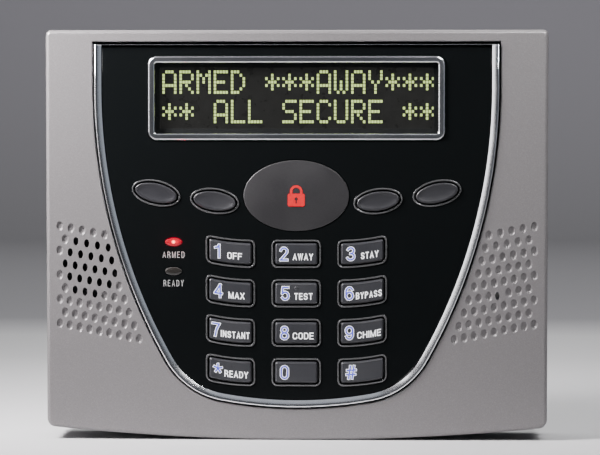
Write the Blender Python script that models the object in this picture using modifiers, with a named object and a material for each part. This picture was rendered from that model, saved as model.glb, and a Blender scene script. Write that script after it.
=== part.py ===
"""Alarm keypad panel: a wall keypad with a character display, a voice loudspeaker and sixteen keys.

Metres, +Z up. The wall plane is Y = 0 and the front faces -Y. The origin is on the wall face,
at the middle of the housing's width and height. A depth is a distance in front of the wall.
"""

from math import atan2, cos, hypot, pi, radians, sin, sqrt

import bmesh
import bpy
from mathutils import Matrix, Vector

MM = 0.001

# Clearances
FIT_GAP = 0.3 * MM
KEY_GAP = 0.6 * MM
HOOK_GAP = 0.5 * MM
TRIM_GAP = 0.7 * MM

# Housing
HOUSING_WIDTH = 188.0 * MM
HOUSING_HEIGHT = 153.8 * MM
HOUSING_DEPTH = 28.0 * MM
WALL = 2.4 * MM
UPPER_CORNER = 2.1 * MM
LOWER_CORNER = 3.3 * MM
FRONT_ROUND = 1.5 * MM
BOTTOM_ARC_RADIUS = 900.0 * MM

# Faceplate outline, as tangent arcs. The side arcs would draw in by SIDE_DRAW_IN over the whole height
FACEPLATE_SIDE_BORDER = 21.2 * MM
FACEPLATE_TOP_BORDER = 6.2 * MM
FACEPLATE_BOTTOM_BORDER = 15.3 * MM
SIDE_STRAIGHT = 15.8 * MM
SIDE_DRAW_IN = 57.7 * MM
CORNER_ARC_RADIUS = 27.0 * MM
LOWER_ARC_RADIUS = 155.0 * MM

# Faceplate section
FACEPLATE_RECESS = 0.4 * MM
FLANGE_LAP = 0.8 * MM
FLANGE_THICKNESS = 1.2 * MM

# Chrome trim
TRIM_WIDTH = 2.9 * MM
TRIM_TOP_WIDTH = 0.85 * MM
TRIM_PROUD = 0.8 * MM
TRIM_FALL = 1.0 * MM
TRIM_CREST = 0.6 * MM
TRIM_TOP_CREST = 0.15 * MM
TRIM_TOP_GAP = 1.05 * MM

# Display
BEZEL_WIDTH = 111.2 * MM
BEZEL_HEIGHT = 31.5 * MM
BEZEL_BAND = 2.6 * MM
BEZEL_PROUD = 0.9 * MM
BEZEL_CORNER = 3.4 * MM
BEZEL_ROUND = 0.8 * MM
WINDOW_RECESS = 1.0 * MM
WINDOW_THICKNESS = 1.5 * MM
DISPLAY_TOP_MARGIN = 3.45 * MM
LCD_WALL = 1.2 * MM
LCD_LIP = 0.8 * MM
LCD_GLASS_THICKNESS = 2.0 * MM
BACKLIGHT_THICKNESS = 3.0 * MM
ACTIVE_MARGIN = 4.0 * MM

# Badge
BADGE_WIDTH = 39.5 * MM
BADGE_HEIGHT = 26.5 * MM
BADGE_DROP = 61.9 * MM
BADGE_POCKET = 1.7 * MM
BADGE_CROWN = 0.6 * MM

# Number keys
KEY_WIDTH = 15.9 * MM
KEY_HEIGHT = 7.9 * MM
KEY_CORNER = 0.9 * MM
KEY_COLUMN_PITCH = 24.7 * MM
KEY_ROW_PITCH = 14.83 * MM
FIRST_ROW_DROP = 83.7 * MM
KEY_CURVE_RADIUS = 72.0 * MM
KEY_PROUD = 1.0 * MM
KEY_CHAMFER = 0.4 * MM
KEY_FLANGE_LAP = 0.7 * MM
KEY_FLANGE_THICKNESS = 1.0 * MM
KEY_TRAVEL = 1.0 * MM
PLUNGER_WIDTH = 7.0 * MM
PLUNGER_HEIGHT = 3.6 * MM
PLUNGER_LENGTH = 2.7 * MM

# Function keys: distance from the middle, drop below the top edge, tilt
FUNCTION_KEY_WIDTH = 15.9 * MM
FUNCTION_KEY_HEIGHT = 7.0 * MM
INNER_FUNCTION_KEY = (30.6 * MM, 63.9 * MM, radians(8.0))
OUTER_FUNCTION_KEY = (52.6 * MM, 60.9 * MM, radians(12.6))

# Status lights
LENS_WIDTH = 6.2 * MM
LENS_HEIGHT = 3.0 * MM
LENS_PROUD = 0.3 * MM
LENS_FLANGE_LAP = 0.6 * MM
LIGHT_OFFSET = 46.1 * MM
ARMED_DROP = 79.3 * MM
READY_DROP = 90.3 * MM
LED_RADIUS = 1.5 * MM
LED_HEIGHT = 2.6 * MM

# Circuit board
BOARD_EDGE = 3.4 * MM
BOARD_TOP = 8.0 * MM
BOARD_BOTTOM_MARGIN = 17.0 * MM
BOARD_THICKNESS = 1.6 * MM
BOSS_RADIUS = 3.0 * MM
SCREW_SHANK_RADIUS = 1.2 * MM
SCREW_HEAD_RADIUS = 2.5 * MM
SCREW_HEAD_HEIGHT = 1.8 * MM
SCREW_LENGTH = 6.5 * MM
DRIVER_SLOT_SHARE = 0.9
BOSS_BESIDE_DISPLAY = 5.0 * MM
LOWER_BOSS = (43.5 * MM, 113.0 * MM)
CHIP_SIDE = 14.0 * MM
CHIP_THICKNESS = 1.6 * MM
CHIP_PLACE = (26.0 * MM, 96.0 * MM)

# Silicone mat
MAT_THICKNESS = 1.0 * MM
DOME_HEIGHT = 1.5 * MM
DOME_BASE_RADIUS = 3.4 * MM
DOME_TOP_RADIUS = 2.2 * MM
MAT_MARGIN = 5.5 * MM

# Loudspeaker, behind the left grille
SPEAKER_INSET = 16.5 * MM
SPEAKER_ABOVE_BOTTOM = 65.8 * MM
SPEAKER_DROP = HOUSING_HEIGHT - SPEAKER_ABOVE_BOTTOM
SPEAKER_RADIUS = 12.0 * MM
SPEAKER_OPENING = 9.0 * MM
SPEAKER_DEPTH = 5.6 * MM
SPEAKER_WALL = 0.8 * MM
SPEAKER_SHOULDER = 1.2 * MM
MAGNET_RADIUS = 6.5 * MM
MAGNET_THICKNESS = 3.0 * MM
GASKET_RADIUS = 9.9 * MM
CONE_DEPTH = 2.2 * MM
PLUG_SIZE = (5.0 * MM, 3.6 * MM, 8.0 * MM)
PLUG_INSET = 2.0 * MM
LEAD_RADIUS = 0.6 * MM
LEAD_SPACING = 2.4 * MM

# Grille: the open holes of each row, counted inward from the row's outer end
GRILLE_OPEN = ((), (1, 2, 3, 4), (1, 2, 3, 4, 5), (0, 1, 2, 3, 4, 5), (1, 2, 3, 4, 5), (1, 2, 3))
GRILLE_ABOVE_BOTTOM = 80.5 * MM
GRILLE_DROP = HOUSING_HEIGHT - GRILLE_ABOVE_BOTTOM
GRILLE_ROW_PITCH = 4.58 * MM
GRILLE_TOP_PITCH = 4.22 * MM
GRILLE_PITCH_STEP = 0.16 * MM
GRILLE_COLUMN_PITCH = 3.72 * MM
GRILLE_INSET = (5.1 * MM, 7.1 * MM)
GRILLE_SLOPE = 0.195
HOLE_WIDTH = 1.94 * MM
HOLE_HEIGHT = 3.15 * MM

# Microphone, behind the single hole on the right
MICROPHONE_INSET = 18.8 * MM
MICROPHONE_ABOVE_BOTTOM = 54.5 * MM
MICROPHONE_DROP = HOUSING_HEIGHT - MICROPHONE_ABOVE_BOTTOM
MICROPHONE_HOLE_RADIUS = 0.8 * MM
CAPSULE_RADIUS = 3.0 * MM
CAPSULE_LENGTH = 4.4 * MM
BOOT_WALL = 1.3 * MM
BOOT_FACE = 0.8 * MM

# Terminal block
TERMINAL_COUNT = 4
TERMINAL_PITCH = 5.08 * MM
TERMINAL_DEPTH = 8.6 * MM
TERMINAL_HEIGHT = 9.0 * MM
TERMINAL_DROP = 22.0 * MM
TERMINAL_SCREW_RADIUS = 1.6 * MM
TERMINAL_SCREW_LENGTH = 2.6 * MM
WIRE_ENTRY_SIDE = 2.6 * MM

# Back plate
PLATE_THICKNESS = 2.4 * MM
WIRE_OPENING_WIDTH = 44.0 * MM
WIRE_OPENING_HEIGHT = 26.0 * MM
WIRE_OPENING_CORNER = 2.0 * MM
WIRE_OPENING_DROP = 47.0 * MM
SLOT_WIDTH = 4.0 * MM
SLOT_LENGTH = 9.0 * MM
SLOT_SPREAD = 83.4 * MM
SLOT_RISE = 30.0 * MM
HOOK_SPREAD = 50.0 * MM
HOOK_WIDTH = 8.0 * MM
HOOK_THICKNESS = 1.8 * MM
HOOK_NOSE = 1.6 * MM
RIB_DEPTH = 5.0 * MM
RIB_THICKNESS = 1.5 * MM
RIB_HEIGHT = 1.1 * MM

# Places and depths that several pieces share
HALF_WIDTH = HOUSING_WIDTH / 2
TOP = HOUSING_HEIGHT / 2
BOTTOM = -HOUSING_HEIGHT / 2
DISPLAY_DROP = FACEPLATE_TOP_BORDER + DISPLAY_TOP_MARGIN + BEZEL_HEIGHT / 2
UPPER_BOSS = (BEZEL_WIDTH / 2 + BOSS_BESIDE_DISPLAY, DISPLAY_DROP)
BOARD_WIDTH = 2 * (UPPER_BOSS[0] + BOARD_EDGE)
SIDE_ARC_RADIUS = HOUSING_HEIGHT**2 / (2 * SIDE_DRAW_IN)
INNER_FACE = HOUSING_DEPTH - WALL
FLANGE_FRONT = INNER_FACE - FIT_GAP
FLANGE_BACK = FLANGE_FRONT - FLANGE_THICKNESS
FACE_FRONT = HOUSING_DEPTH - FACEPLATE_RECESS
KEY_FLANGE_FRONT = FLANGE_BACK - FIT_GAP
KEY_FLANGE_BACK = KEY_FLANGE_FRONT - KEY_FLANGE_THICKNESS
PLUNGER_FOOT = KEY_FLANGE_BACK - PLUNGER_LENGTH
DOME_TOP = PLUNGER_FOOT - KEY_TRAVEL - FIT_GAP
MAT_BACK = DOME_TOP - DOME_HEIGHT - MAT_THICKNESS
BOARD_DEPTH = MAT_BACK - FIT_GAP
BOARD_BACK = BOARD_DEPTH - BOARD_THICKNESS
WINDOW_FRONT = FACE_FRONT - WINDOW_RECESS
WINDOW_BACK = WINDOW_FRONT - WINDOW_THICKNESS
LCD_FRAME_FRONT = WINDOW_BACK - FIT_GAP
SPEAKER_X = -(HALF_WIDTH - SPEAKER_INSET)
SPEAKER_FRONT = FLANGE_BACK - FIT_GAP
MICROPHONE_X = HALF_WIDTH - MICROPHONE_INSET
SMALLEST_CORNER = 0.5 * MM
BEYOND = 4.0 * MM
OVERLAP = 0.4 * MM

parts = None
cutters = None


# Scene and materials


def clear_scene():
    for old in list(bpy.data.objects):
        bpy.data.objects.remove(old, do_unlink=True)


def new_collection(name):
    made = bpy.data.collections.new(name)
    bpy.context.scene.collection.children.link(made)
    return made


def paint(obj, color, roughness, metallic=0.0):
    material = bpy.data.materials.new(obj.name)
    material.use_nodes = True
    shader = material.node_tree.nodes["Principled BSDF"]
    shader.inputs["Base Color"].default_value = (*color, 1.0)
    shader.inputs["Roughness"].default_value = roughness
    shader.inputs["Metallic"].default_value = metallic
    obj.data.materials.append(material)


def drop(distance):
    """The height of a point this far below the housing's top edge."""
    return TOP - distance


# Flat outlines, as lists of (x, z) points


def arc(center, radius, start, end, steps):
    turn = (end - start) / steps
    angles = [start + turn * i for i in range(steps + 1)]
    return [(center[0] + radius * cos(a), center[1] + radius * sin(a)) for a in angles]


def rounded_rectangle(width, height, radius, steps=4):
    x = width / 2 - radius
    z = height / 2 - radius
    corners = [(x, z, 0.0), (-x, z, pi / 2), (-x, -z, pi), (x, -z, 3 * pi / 2)]
    outline = []
    for corner_x, corner_z, start in corners:
        outline += arc((corner_x, corner_z), radius, start, start + pi / 2, steps)
    return outline


def ellipse(width, height, steps, tilt=0.0, center=(0.0, 0.0)):
    outline = []
    for i in range(steps):
        angle = 2 * pi * i / steps
        x = width / 2 * cos(angle)
        z = height / 2 * sin(angle)
        outline.append(
            (center[0] + x * cos(tilt) - z * sin(tilt), center[1] + x * sin(tilt) + z * cos(tilt))
        )
    return outline


def moved(outline, x, z):
    return [(px + x, pz + z) for px, pz in outline]


def mirrored(half):
    """A closed outline from its right half, which runs from the top middle to the bottom middle."""
    return half + [(-x, z) for x, z in reversed(half) if abs(x) > 1e-7]


def bottom_edge(x, inset=0.0):
    """The height of the housing's curved lower edge, moved inward by inset."""
    radius = BOTTOM_ARC_RADIUS - inset
    return BOTTOM + BOTTOM_ARC_RADIUS - sqrt(radius * radius - x * x)


def housing_outline(inset=0.0):
    """The housing's rounded outline, moved inward by inset."""
    half_width = HALF_WIDTH - inset
    upper = max(UPPER_CORNER - inset, SMALLEST_CORNER)
    lower = max(LOWER_CORNER - inset, SMALLEST_CORNER)
    arc_radius = BOTTOM_ARC_RADIUS - inset
    arc_center = (0.0, BOTTOM + BOTTOM_ARC_RADIUS)
    corner_x = half_width - lower
    corner_z = arc_center[1] - sqrt((arc_radius - lower) ** 2 - corner_x**2)
    touch = atan2(corner_z - arc_center[1], corner_x)
    top_center = (half_width - upper, TOP - inset - upper)
    half = arc(top_center, upper, pi / 2, 0.0, 3)
    half += arc((corner_x, corner_z), lower, 0.0, touch, 4)
    half += arc(arc_center, arc_radius, touch, -pi / 2, 6)[1:]
    return mirrored(half)


def meeting_point(center_a, radius_a, center_b, radius_b):
    """Where two circles cross, on the right and below."""
    dx = center_b[0] - center_a[0]
    dz = center_b[1] - center_a[1]
    apart = hypot(dx, dz)
    along = (radius_a**2 - radius_b**2 + apart**2) / (2 * apart)
    across = sqrt(radius_a**2 - along**2)
    mid = (center_a[0] + along * dx / apart, center_a[1] + along * dz / apart)
    found = [
        (mid[0] + side * across * dz / apart, mid[1] - side * across * dx / apart)
        for side in (1, -1)
    ]
    return min(found, key=lambda point: point[1])


def shield_outline(grow, top):
    """The faceplate's outline, moved outward by grow, with its upper edge at the height top."""
    half_width = HALF_WIDTH - FACEPLATE_SIDE_BORDER
    straight_end = TOP - FACEPLATE_TOP_BORDER - SIDE_STRAIGHT
    side = (half_width - SIDE_ARC_RADIUS, straight_end)
    lower = (0.0, BOTTOM + FACEPLATE_BOTTOM_BORDER + LOWER_ARC_RADIUS)
    corner = meeting_point(
        side, SIDE_ARC_RADIUS - CORNER_ARC_RADIUS, lower, LOWER_ARC_RADIUS - CORNER_ARC_RADIUS
    )
    first = atan2(corner[1] - side[1], corner[0] - side[0])
    second = atan2(corner[1] - lower[1], corner[0] - lower[0])
    half = [(half_width + grow, top)]
    half += arc(side, SIDE_ARC_RADIUS + grow, 0.0, first, 10)
    half += arc(corner, CORNER_ARC_RADIUS + grow, first, second, 8)[1:]
    half += arc(lower, LOWER_ARC_RADIUS + grow, second, -pi / 2, 4)[1:]
    return mirrored(half)


def key_lift(x, column):
    """How far a point of a key is raised: the outer columns curve up toward the outside."""
    inner_end = -KEY_WIDTH / 2
    reach = max(x * column - inner_end, 0.0) if column else 0.0
    return reach * reach / (2 * KEY_CURVE_RADIUS)


def key_outline(column, grow):
    """A number key's outline about its middle, moved outward by grow. column is -1, 0 or 1."""
    width = KEY_WIDTH + 2 * grow
    height = KEY_HEIGHT + 2 * grow
    corner = KEY_CORNER + max(grow, 0.0)
    outline = rounded_rectangle(width, height, corner, 3)
    if column:
        upper = outline[:4] + crossing(outline[3], outline[4]) + outline[4:8]
        lower = outline[8:12] + crossing(outline[11], outline[12]) + outline[12:]
        outline = upper + lower
    return [(x, z + key_lift(x, column)) for x, z in outline]


def crossing(start, end, pieces=4):
    """Evenly spaced points strictly between two others."""
    shares = [i / pieces for i in range(1, pieces)]
    return [
        (start[0] + (end[0] - start[0]) * s, start[1] + (end[1] - start[1]) * s) for s in shares
    ]


# Solids


def place_in(collection, name, mesh):
    obj = bpy.data.objects.new(name, mesh)
    collection.objects.link(obj)
    if collection is cutters:
        obj.hide_render = True
        obj.display_type = "WIRE"
    return obj


def object_from(bm, name, collection=None):
    bmesh.ops.recalc_face_normals(bm, faces=bm.faces)
    mesh = bpy.data.meshes.new(name)
    bm.to_mesh(mesh)
    bm.free()
    obj = place_in(collection or parts, name, mesh)
    obj.data.shade_smooth()
    obj.data.set_sharp_from_angle(angle=radians(35.0))
    return obj


def slab(name, outline, back, front, collection=None):
    """A flat plate between two depths, with this outline as its edge."""
    curve = bpy.data.curves.new(name, "CURVE")
    curve.dimensions = "2D"
    curve.fill_mode = "BOTH"
    curve.extrude = (front - back) / 2
    spline = curve.splines.new("POLY")
    spline.points.add(len(outline) - 1)
    for point, (x, z) in zip(spline.points, outline):
        point.co = (x, z, 0.0, 1.0)
    spline.use_cyclic_u = True
    drawn = bpy.data.objects.new(name + "_outline", curve)
    bpy.context.scene.collection.objects.link(drawn)
    graph = bpy.context.evaluated_depsgraph_get()
    mesh = bpy.data.meshes.new_from_object(drawn.evaluated_get(graph))
    bm = bmesh.new()
    bm.from_mesh(mesh)
    bmesh.ops.remove_doubles(bm, verts=bm.verts, dist=1e-6)
    for vert in bm.verts:
        x, z, ahead = vert.co
        vert.co = (x, -front if ahead > 0.0 else -back, z)
    bpy.data.objects.remove(drawn, do_unlink=True)
    bpy.data.meshes.remove(mesh)
    return object_from(bm, name, collection)


def stepped(name, sections, collection=None):
    """A solid pushed out through (outline, depth) sections that have equally many points."""
    bm = bmesh.new()
    outline, depth = sections[0]
    face = bm.faces.new([bm.verts.new((x, -depth, z)) for x, z in outline])
    for outline, depth in sections[1:]:
        pushed = bmesh.ops.extrude_face_region(bm, geom=[face])
        if len(bm.faces) > len(outline) + 2:
            bmesh.ops.delete(bm, geom=[face], context="FACES_ONLY")
        face = next(item for item in pushed["geom"] if isinstance(item, bmesh.types.BMFace))
        for vert, (x, z) in zip(face.verts, outline):
            vert.co = (x, -depth, z)
    return object_from(bm, name, collection)


def ring(name, sections, collection=None):
    """A closed band whose (outline, depth) sections run once round its own cross-section."""
    bm = bmesh.new()
    outline, depth = sections[0]
    verts = [bm.verts.new((x, -depth, z)) for x, z in outline]
    edges = [bm.edges.new((verts[i - 1], verts[i])) for i in range(len(verts))]
    for outline, depth in sections[1:] + sections[:1]:
        moved_to = dict(zip(verts, outline))
        pushed = bmesh.ops.extrude_edge_only(bm, edges=edges)["geom"]
        fresh = [item for item in pushed if isinstance(item, bmesh.types.BMVert)]
        nearest = {vert: min(verts, key=lambda old: (old.co - vert.co).length) for vert in fresh}
        edges = [item for item in pushed if isinstance(item, bmesh.types.BMEdge)]
        for vert, old in nearest.items():
            x, z = moved_to[old]
            vert.co = (x, -depth, z)
        place = {old: vert for vert, old in nearest.items()}
        verts = [place[old] for old in verts]
    bmesh.ops.remove_doubles(bm, verts=bm.verts, dist=1e-6)
    return object_from(bm, name, collection)


def box(name, center, size, back, front, collection=None):
    """A block between two depths: center is (x, z) and size is (width, height)."""
    bm = bmesh.new()
    bmesh.ops.create_cube(bm, size=1.0)
    bmesh.ops.scale(bm, vec=(size[0], front - back, size[1]), verts=bm.verts)
    bmesh.ops.translate(bm, vec=(center[0], -(front + back) / 2, center[1]), verts=bm.verts)
    return object_from(bm, name, collection)


def turned(name, profile, center_x, center_z, steps=24, collection=None):
    """A round piece about an axis through the wall: profile is a list of (radius, depth) points."""
    mesh = bpy.data.meshes.new(name)
    bm = bmesh.new()
    verts = [bm.verts.new((radius, 0.0, depth)) for radius, depth in profile]
    for i in range(len(verts) - 1):
        bm.edges.new((verts[i], verts[i + 1]))
    if profile[0][0] > 0.0:
        bm.edges.new((verts[-1], verts[0]))
    bm.to_mesh(mesh)
    bm.free()
    obj = place_in(collection or parts, name, mesh)
    obj.location = (center_x, 0.0, center_z)
    obj.rotation_euler = (pi / 2, 0.0, 0.0)
    screw = obj.modifiers.new("turn", "SCREW")
    screw.axis = "Z"
    screw.steps = steps
    screw.render_steps = steps
    screw.use_merge_vertices = True
    screw.merge_threshold = 1e-5
    return obj


def disc(radius, back, front):
    """The profile of a plain round piece."""
    return [(0.0, front), (radius, front), (radius, back), (0.0, back)]


def boolean(obj, other, operation):
    modifier = obj.modifiers.new(other.name, "BOOLEAN")
    modifier.operation = operation
    modifier.solver = "EXACT"
    modifier.object = other
    return modifier


def cut(obj, other):
    boolean(obj, other, "DIFFERENCE")


def join(obj, other):
    boolean(obj, other, "UNION")


def round_rim(obj, depth, width, segments):
    """Rounds the outer edge of the face at this depth."""
    bm = bmesh.new()
    bm.from_mesh(obj.data)
    rim = [
        edge
        for edge in bm.edges
        if all(abs(vert.co.y + depth) < 1e-6 for vert in edge.verts)
        and edge.calc_face_angle(0.0) > 1.0
    ]
    bmesh.ops.bevel(bm, geom=rim, offset=width, segments=segments, profile=0.5, affect="EDGES")
    bm.to_mesh(obj.data)
    bm.free()


# Housing and back plate


def through_front(name, outline):
    """A cutter that goes through the housing's front wall."""
    return slab(name, outline, INNER_FACE - BEYOND, HOUSING_DEPTH + BEYOND, cutters)


def grille_point(row, dot):
    """The middle of a grille dot on the left, counted from the outer end of its row."""
    pitch = max(GRILLE_TOP_PITCH - GRILLE_PITCH_STEP * row, GRILLE_COLUMN_PITCH)
    x = -HALF_WIDTH + GRILLE_INSET[row % 2] + pitch * dot
    fall = GRILLE_ROW_PITCH * row + GRILLE_SLOPE * (x + HALF_WIDTH - GRILLE_INSET[0])
    return x, drop(GRILLE_DROP + fall)


def grille_cutters():
    for row, dots in enumerate(GRILLE_OPEN):
        for dot in dots:
            hole = ellipse(HOLE_WIDTH, HOLE_HEIGHT, 10, center=grille_point(row, dot))
            yield through_front(f"grille_hole_{row}_{dot}", hole)


def hook_places():
    """The two hooks at the top and the two at the bottom: x, inner wall height, outward sign."""
    for side in (-1, 1):
        yield side * HOOK_SPREAD, TOP - WALL, 1
    for side in (-1, 1):
        x = side * HOOK_SPREAD / 2
        yield x, bottom_edge(x, WALL), -1


def front_housing():
    housing = slab("front_housing", housing_outline(), 0.0, HOUSING_DEPTH)
    round_rim(housing, HOUSING_DEPTH, FRONT_ROUND, 3)
    cut(housing, slab("housing_hollow", housing_outline(WALL), -BEYOND, INNER_FACE, cutters))
    opening = shield_outline(
        TRIM_WIDTH + TRIM_GAP, TOP - FACEPLATE_TOP_BORDER + TRIM_TOP_WIDTH + TRIM_TOP_GAP
    )
    cut(housing, through_front("shield_opening", opening))
    for hole in grille_cutters():
        cut(housing, hole)
    place = (MICROPHONE_X, drop(MICROPHONE_DROP))
    hole = ellipse(2 * MICROPHONE_HOLE_RADIUS, HOLE_HEIGHT, 10, center=place)
    cut(housing, through_front("microphone_hole", hole))
    for i, (x, wall_z, outward) in enumerate(hook_places()):
        middle = wall_z - outward * (RIB_HEIGHT - OVERLAP) / 2
        size = (HOOK_WIDTH, RIB_HEIGHT + OVERLAP)
        rib = box(f"catch_rib_{i}", (x, middle), size, RIB_DEPTH, RIB_DEPTH + RIB_THICKNESS, cutters)
        join(housing, rib)
    paint(housing, (0.38, 0.36, 0.35), 0.42, 0.75)
    return housing


def back_plate():
    plate = slab("back_plate", housing_outline(WALL + FIT_GAP), 0.0, PLATE_THICKNESS)
    opening = rounded_rectangle(WIRE_OPENING_WIDTH, WIRE_OPENING_HEIGHT, WIRE_OPENING_CORNER, 2)
    opening = moved(opening, 0.0, drop(WIRE_OPENING_DROP))
    cut(plate, slab("wire_opening", opening, -BEYOND, PLATE_THICKNESS + BEYOND, cutters))
    for across in (-1, 1):
        for up in (-1, 1):
            slot = rounded_rectangle(SLOT_LENGTH, SLOT_WIDTH, SLOT_WIDTH / 2, 4)
            slot = moved(slot, across * SLOT_SPREAD / 2, up * SLOT_RISE)
            name = f"screw_slot_{across}_{up}"
            cut(plate, slab(name, slot, -BEYOND, PLATE_THICKNESS + BEYOND, cutters))
    nose_back = RIB_DEPTH + RIB_THICKNESS + FIT_GAP
    for i, (x, wall_z, outward) in enumerate(hook_places()):
        tab_face = wall_z - outward * (RIB_HEIGHT + HOOK_GAP)
        tab_z = tab_face - outward * HOOK_THICKNESS / 2
        tab_back = PLATE_THICKNESS - OVERLAP
        tab_front = nose_back + HOOK_NOSE
        size = (HOOK_WIDTH, HOOK_THICKNESS)
        join(plate, box(f"hook_{i}", (x, tab_z), size, tab_back, tab_front, cutters))
        nose_tip = wall_z - outward * HOOK_GAP
        nose_root = tab_face - outward * OVERLAP
        place = (x, (nose_tip + nose_root) / 2)
        size = (HOOK_WIDTH - OVERLAP, abs(nose_tip - nose_root))
        join(plate, box(f"nose_{i}", place, size, nose_back, tab_front - OVERLAP, cutters))
    paint(plate, (0.05, 0.05, 0.055), 0.6)
    return plate


# Faceplate and what is fixed in it


def board_screw_places():
    for x, fall in (UPPER_BOSS, LOWER_BOSS):
        for side in (-1, 1):
            yield side * x, drop(fall)


def key_places():
    """Each number key's name, column, x and z."""
    names = (("1", "2", "3"), ("4", "5", "6"), ("7", "8", "9"), ("star", "0", "hash"))
    for row, labels in enumerate(names):
        for column, label in zip((-1, 0, 1), labels):
            z = drop(FIRST_ROW_DROP + row * KEY_ROW_PITCH)
            yield f"key_{label}", column, column * KEY_COLUMN_PITCH, z


def function_key_places():
    """Each function key's name, x, z and tilt, from left to right."""
    outer_x, outer_drop, outer_tilt = OUTER_FUNCTION_KEY
    inner_x, inner_drop, inner_tilt = INNER_FUNCTION_KEY
    yield "function_key_a", -outer_x, drop(outer_drop), -outer_tilt
    yield "function_key_b", -inner_x, drop(inner_drop), -inner_tilt
    yield "function_key_c", inner_x, drop(inner_drop), inner_tilt
    yield "function_key_d", outer_x, drop(outer_drop), outer_tilt


def function_key_outline(grow, x, z, tilt):
    width = FUNCTION_KEY_WIDTH + 2 * grow
    height = FUNCTION_KEY_HEIGHT + 2 * grow
    return ellipse(width, height, 24, tilt, (x, z))


def light_places():
    yield "armed", -LIGHT_OFFSET, drop(ARMED_DROP)
    yield "ready", -LIGHT_OFFSET, drop(READY_DROP)


def lens_outline(grow, x, z):
    return ellipse(LENS_WIDTH + 2 * grow, LENS_HEIGHT + 2 * grow, 16, center=(x, z))


def display_outline(shrink):
    """The display bezel's outline, moved inward by shrink."""
    corner = max(BEZEL_CORNER - shrink, SMALLEST_CORNER)
    flat = rounded_rectangle(BEZEL_WIDTH - 2 * shrink, BEZEL_HEIGHT - 2 * shrink, corner, 4)
    return moved(flat, 0.0, drop(DISPLAY_DROP))


def faceplate_openings():
    """The name and outline of every aperture through the faceplate."""
    yield "display", display_outline(-FIT_GAP)
    for name, column, x, z in key_places():
        yield name, moved(key_outline(column, KEY_GAP), x, z)
    for name, x, z, tilt in function_key_places():
        yield name, function_key_outline(KEY_GAP, x, z, tilt)
    for name, x, z in light_places():
        yield name, lens_outline(FIT_GAP, x, z)


def faceplate():
    top = TOP - FACEPLATE_TOP_BORDER
    plate = slab("faceplate", shield_outline(0.0, top), FLANGE_BACK + OVERLAP, FACE_FRONT)
    flange_grow = TRIM_WIDTH + TRIM_GAP + FLANGE_LAP
    flange_top = top + TRIM_TOP_WIDTH + TRIM_TOP_GAP + FLANGE_LAP
    flange = shield_outline(flange_grow, flange_top)
    join(plate, slab("faceplate_flange", flange, FLANGE_BACK, FLANGE_FRONT, cutters))
    for i, (x, z) in enumerate(board_screw_places()):
        boss = disc(BOSS_RADIUS, BOARD_DEPTH + FIT_GAP, FLANGE_BACK + OVERLAP)
        join(plate, turned(f"board_boss_{i}", boss, x, z, 12, cutters))
        end = BOARD_BACK + SCREW_LENGTH + FIT_GAP
        pilot = disc(SCREW_SHANK_RADIUS + FIT_GAP, BOARD_BACK, end)
        cut(plate, turned(f"pilot_hole_{i}", pilot, x, z, 12, cutters))
    for name, outline in faceplate_openings():
        back = FLANGE_BACK - BEYOND
        cut(plate, slab(name + "_aperture", outline, back, FACE_FRONT + BEYOND, cutters))
    pocket = badge_outline(FIT_GAP)
    cut(plate, slab("badge_pocket", pocket, FACE_FRONT - BADGE_POCKET, FACE_FRONT + BEYOND, cutters))
    paint(plate, (0.006, 0.007, 0.008), 0.12)
    return plate


def chrome_trim():
    top = TOP - FACEPLATE_TOP_BORDER
    back = FLANGE_FRONT + FIT_GAP
    crest = HOUSING_DEPTH + TRIM_PROUD
    outer = shield_outline(TRIM_WIDTH, top + TRIM_TOP_WIDTH)
    shoulder = shield_outline(TRIM_WIDTH - TRIM_CREST, top + TRIM_TOP_WIDTH - TRIM_TOP_CREST)
    inner = shield_outline(FIT_GAP, top + FIT_GAP)
    sections = [
        (outer, back),
        (outer, crest - TRIM_CREST),
        (shoulder, crest),
        (inner, crest - TRIM_FALL),
        (inner, back),
    ]
    trim = ring("chrome_trim", sections)
    paint(trim, (0.8, 0.81, 0.83), 0.14, 1.0)
    return trim


def display_bezel():
    back = WINDOW_FRONT + FIT_GAP
    crest = FACE_FRONT + BEZEL_PROUD
    sections = [
        (display_outline(0.0), back),
        (display_outline(0.0), crest - BEZEL_ROUND),
        (display_outline(BEZEL_ROUND), crest),
        (display_outline(BEZEL_BAND - BEZEL_ROUND), crest),
        (display_outline(BEZEL_BAND), crest - BEZEL_ROUND),
        (display_outline(BEZEL_BAND), back),
    ]
    bezel = ring("display_bezel", sections)
    paint(bezel, (0.75, 0.75, 0.76), 0.16, 1.0)
    return bezel


def display_window():
    window = slab("display_window", display_outline(FIT_GAP), WINDOW_BACK, WINDOW_FRONT)
    paint(window, (0.012, 0.013, 0.014), 0.08)
    return window


def badge_outline(grow):
    size = (BADGE_WIDTH + 2 * grow, BADGE_HEIGHT + 2 * grow)
    return ellipse(*size, 36, center=(0.0, drop(BADGE_DROP)))


def centre_badge():
    floor = FACE_FRONT - BADGE_POCKET + FIT_GAP
    edge = FACE_FRONT + FIT_GAP
    sections = [(badge_outline(0.0), floor), (badge_outline(0.0), edge)]
    for share in (0.35, 0.65, 0.9):
        inset = share * BADGE_HEIGHT / 2
        sections.append((badge_outline(-inset), edge + BADGE_CROWN * (1 - (1 - share) ** 2)))
    badge = stepped("centre_badge", sections)
    paint(badge, (0.065, 0.063, 0.066), 0.4)
    return badge


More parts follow.
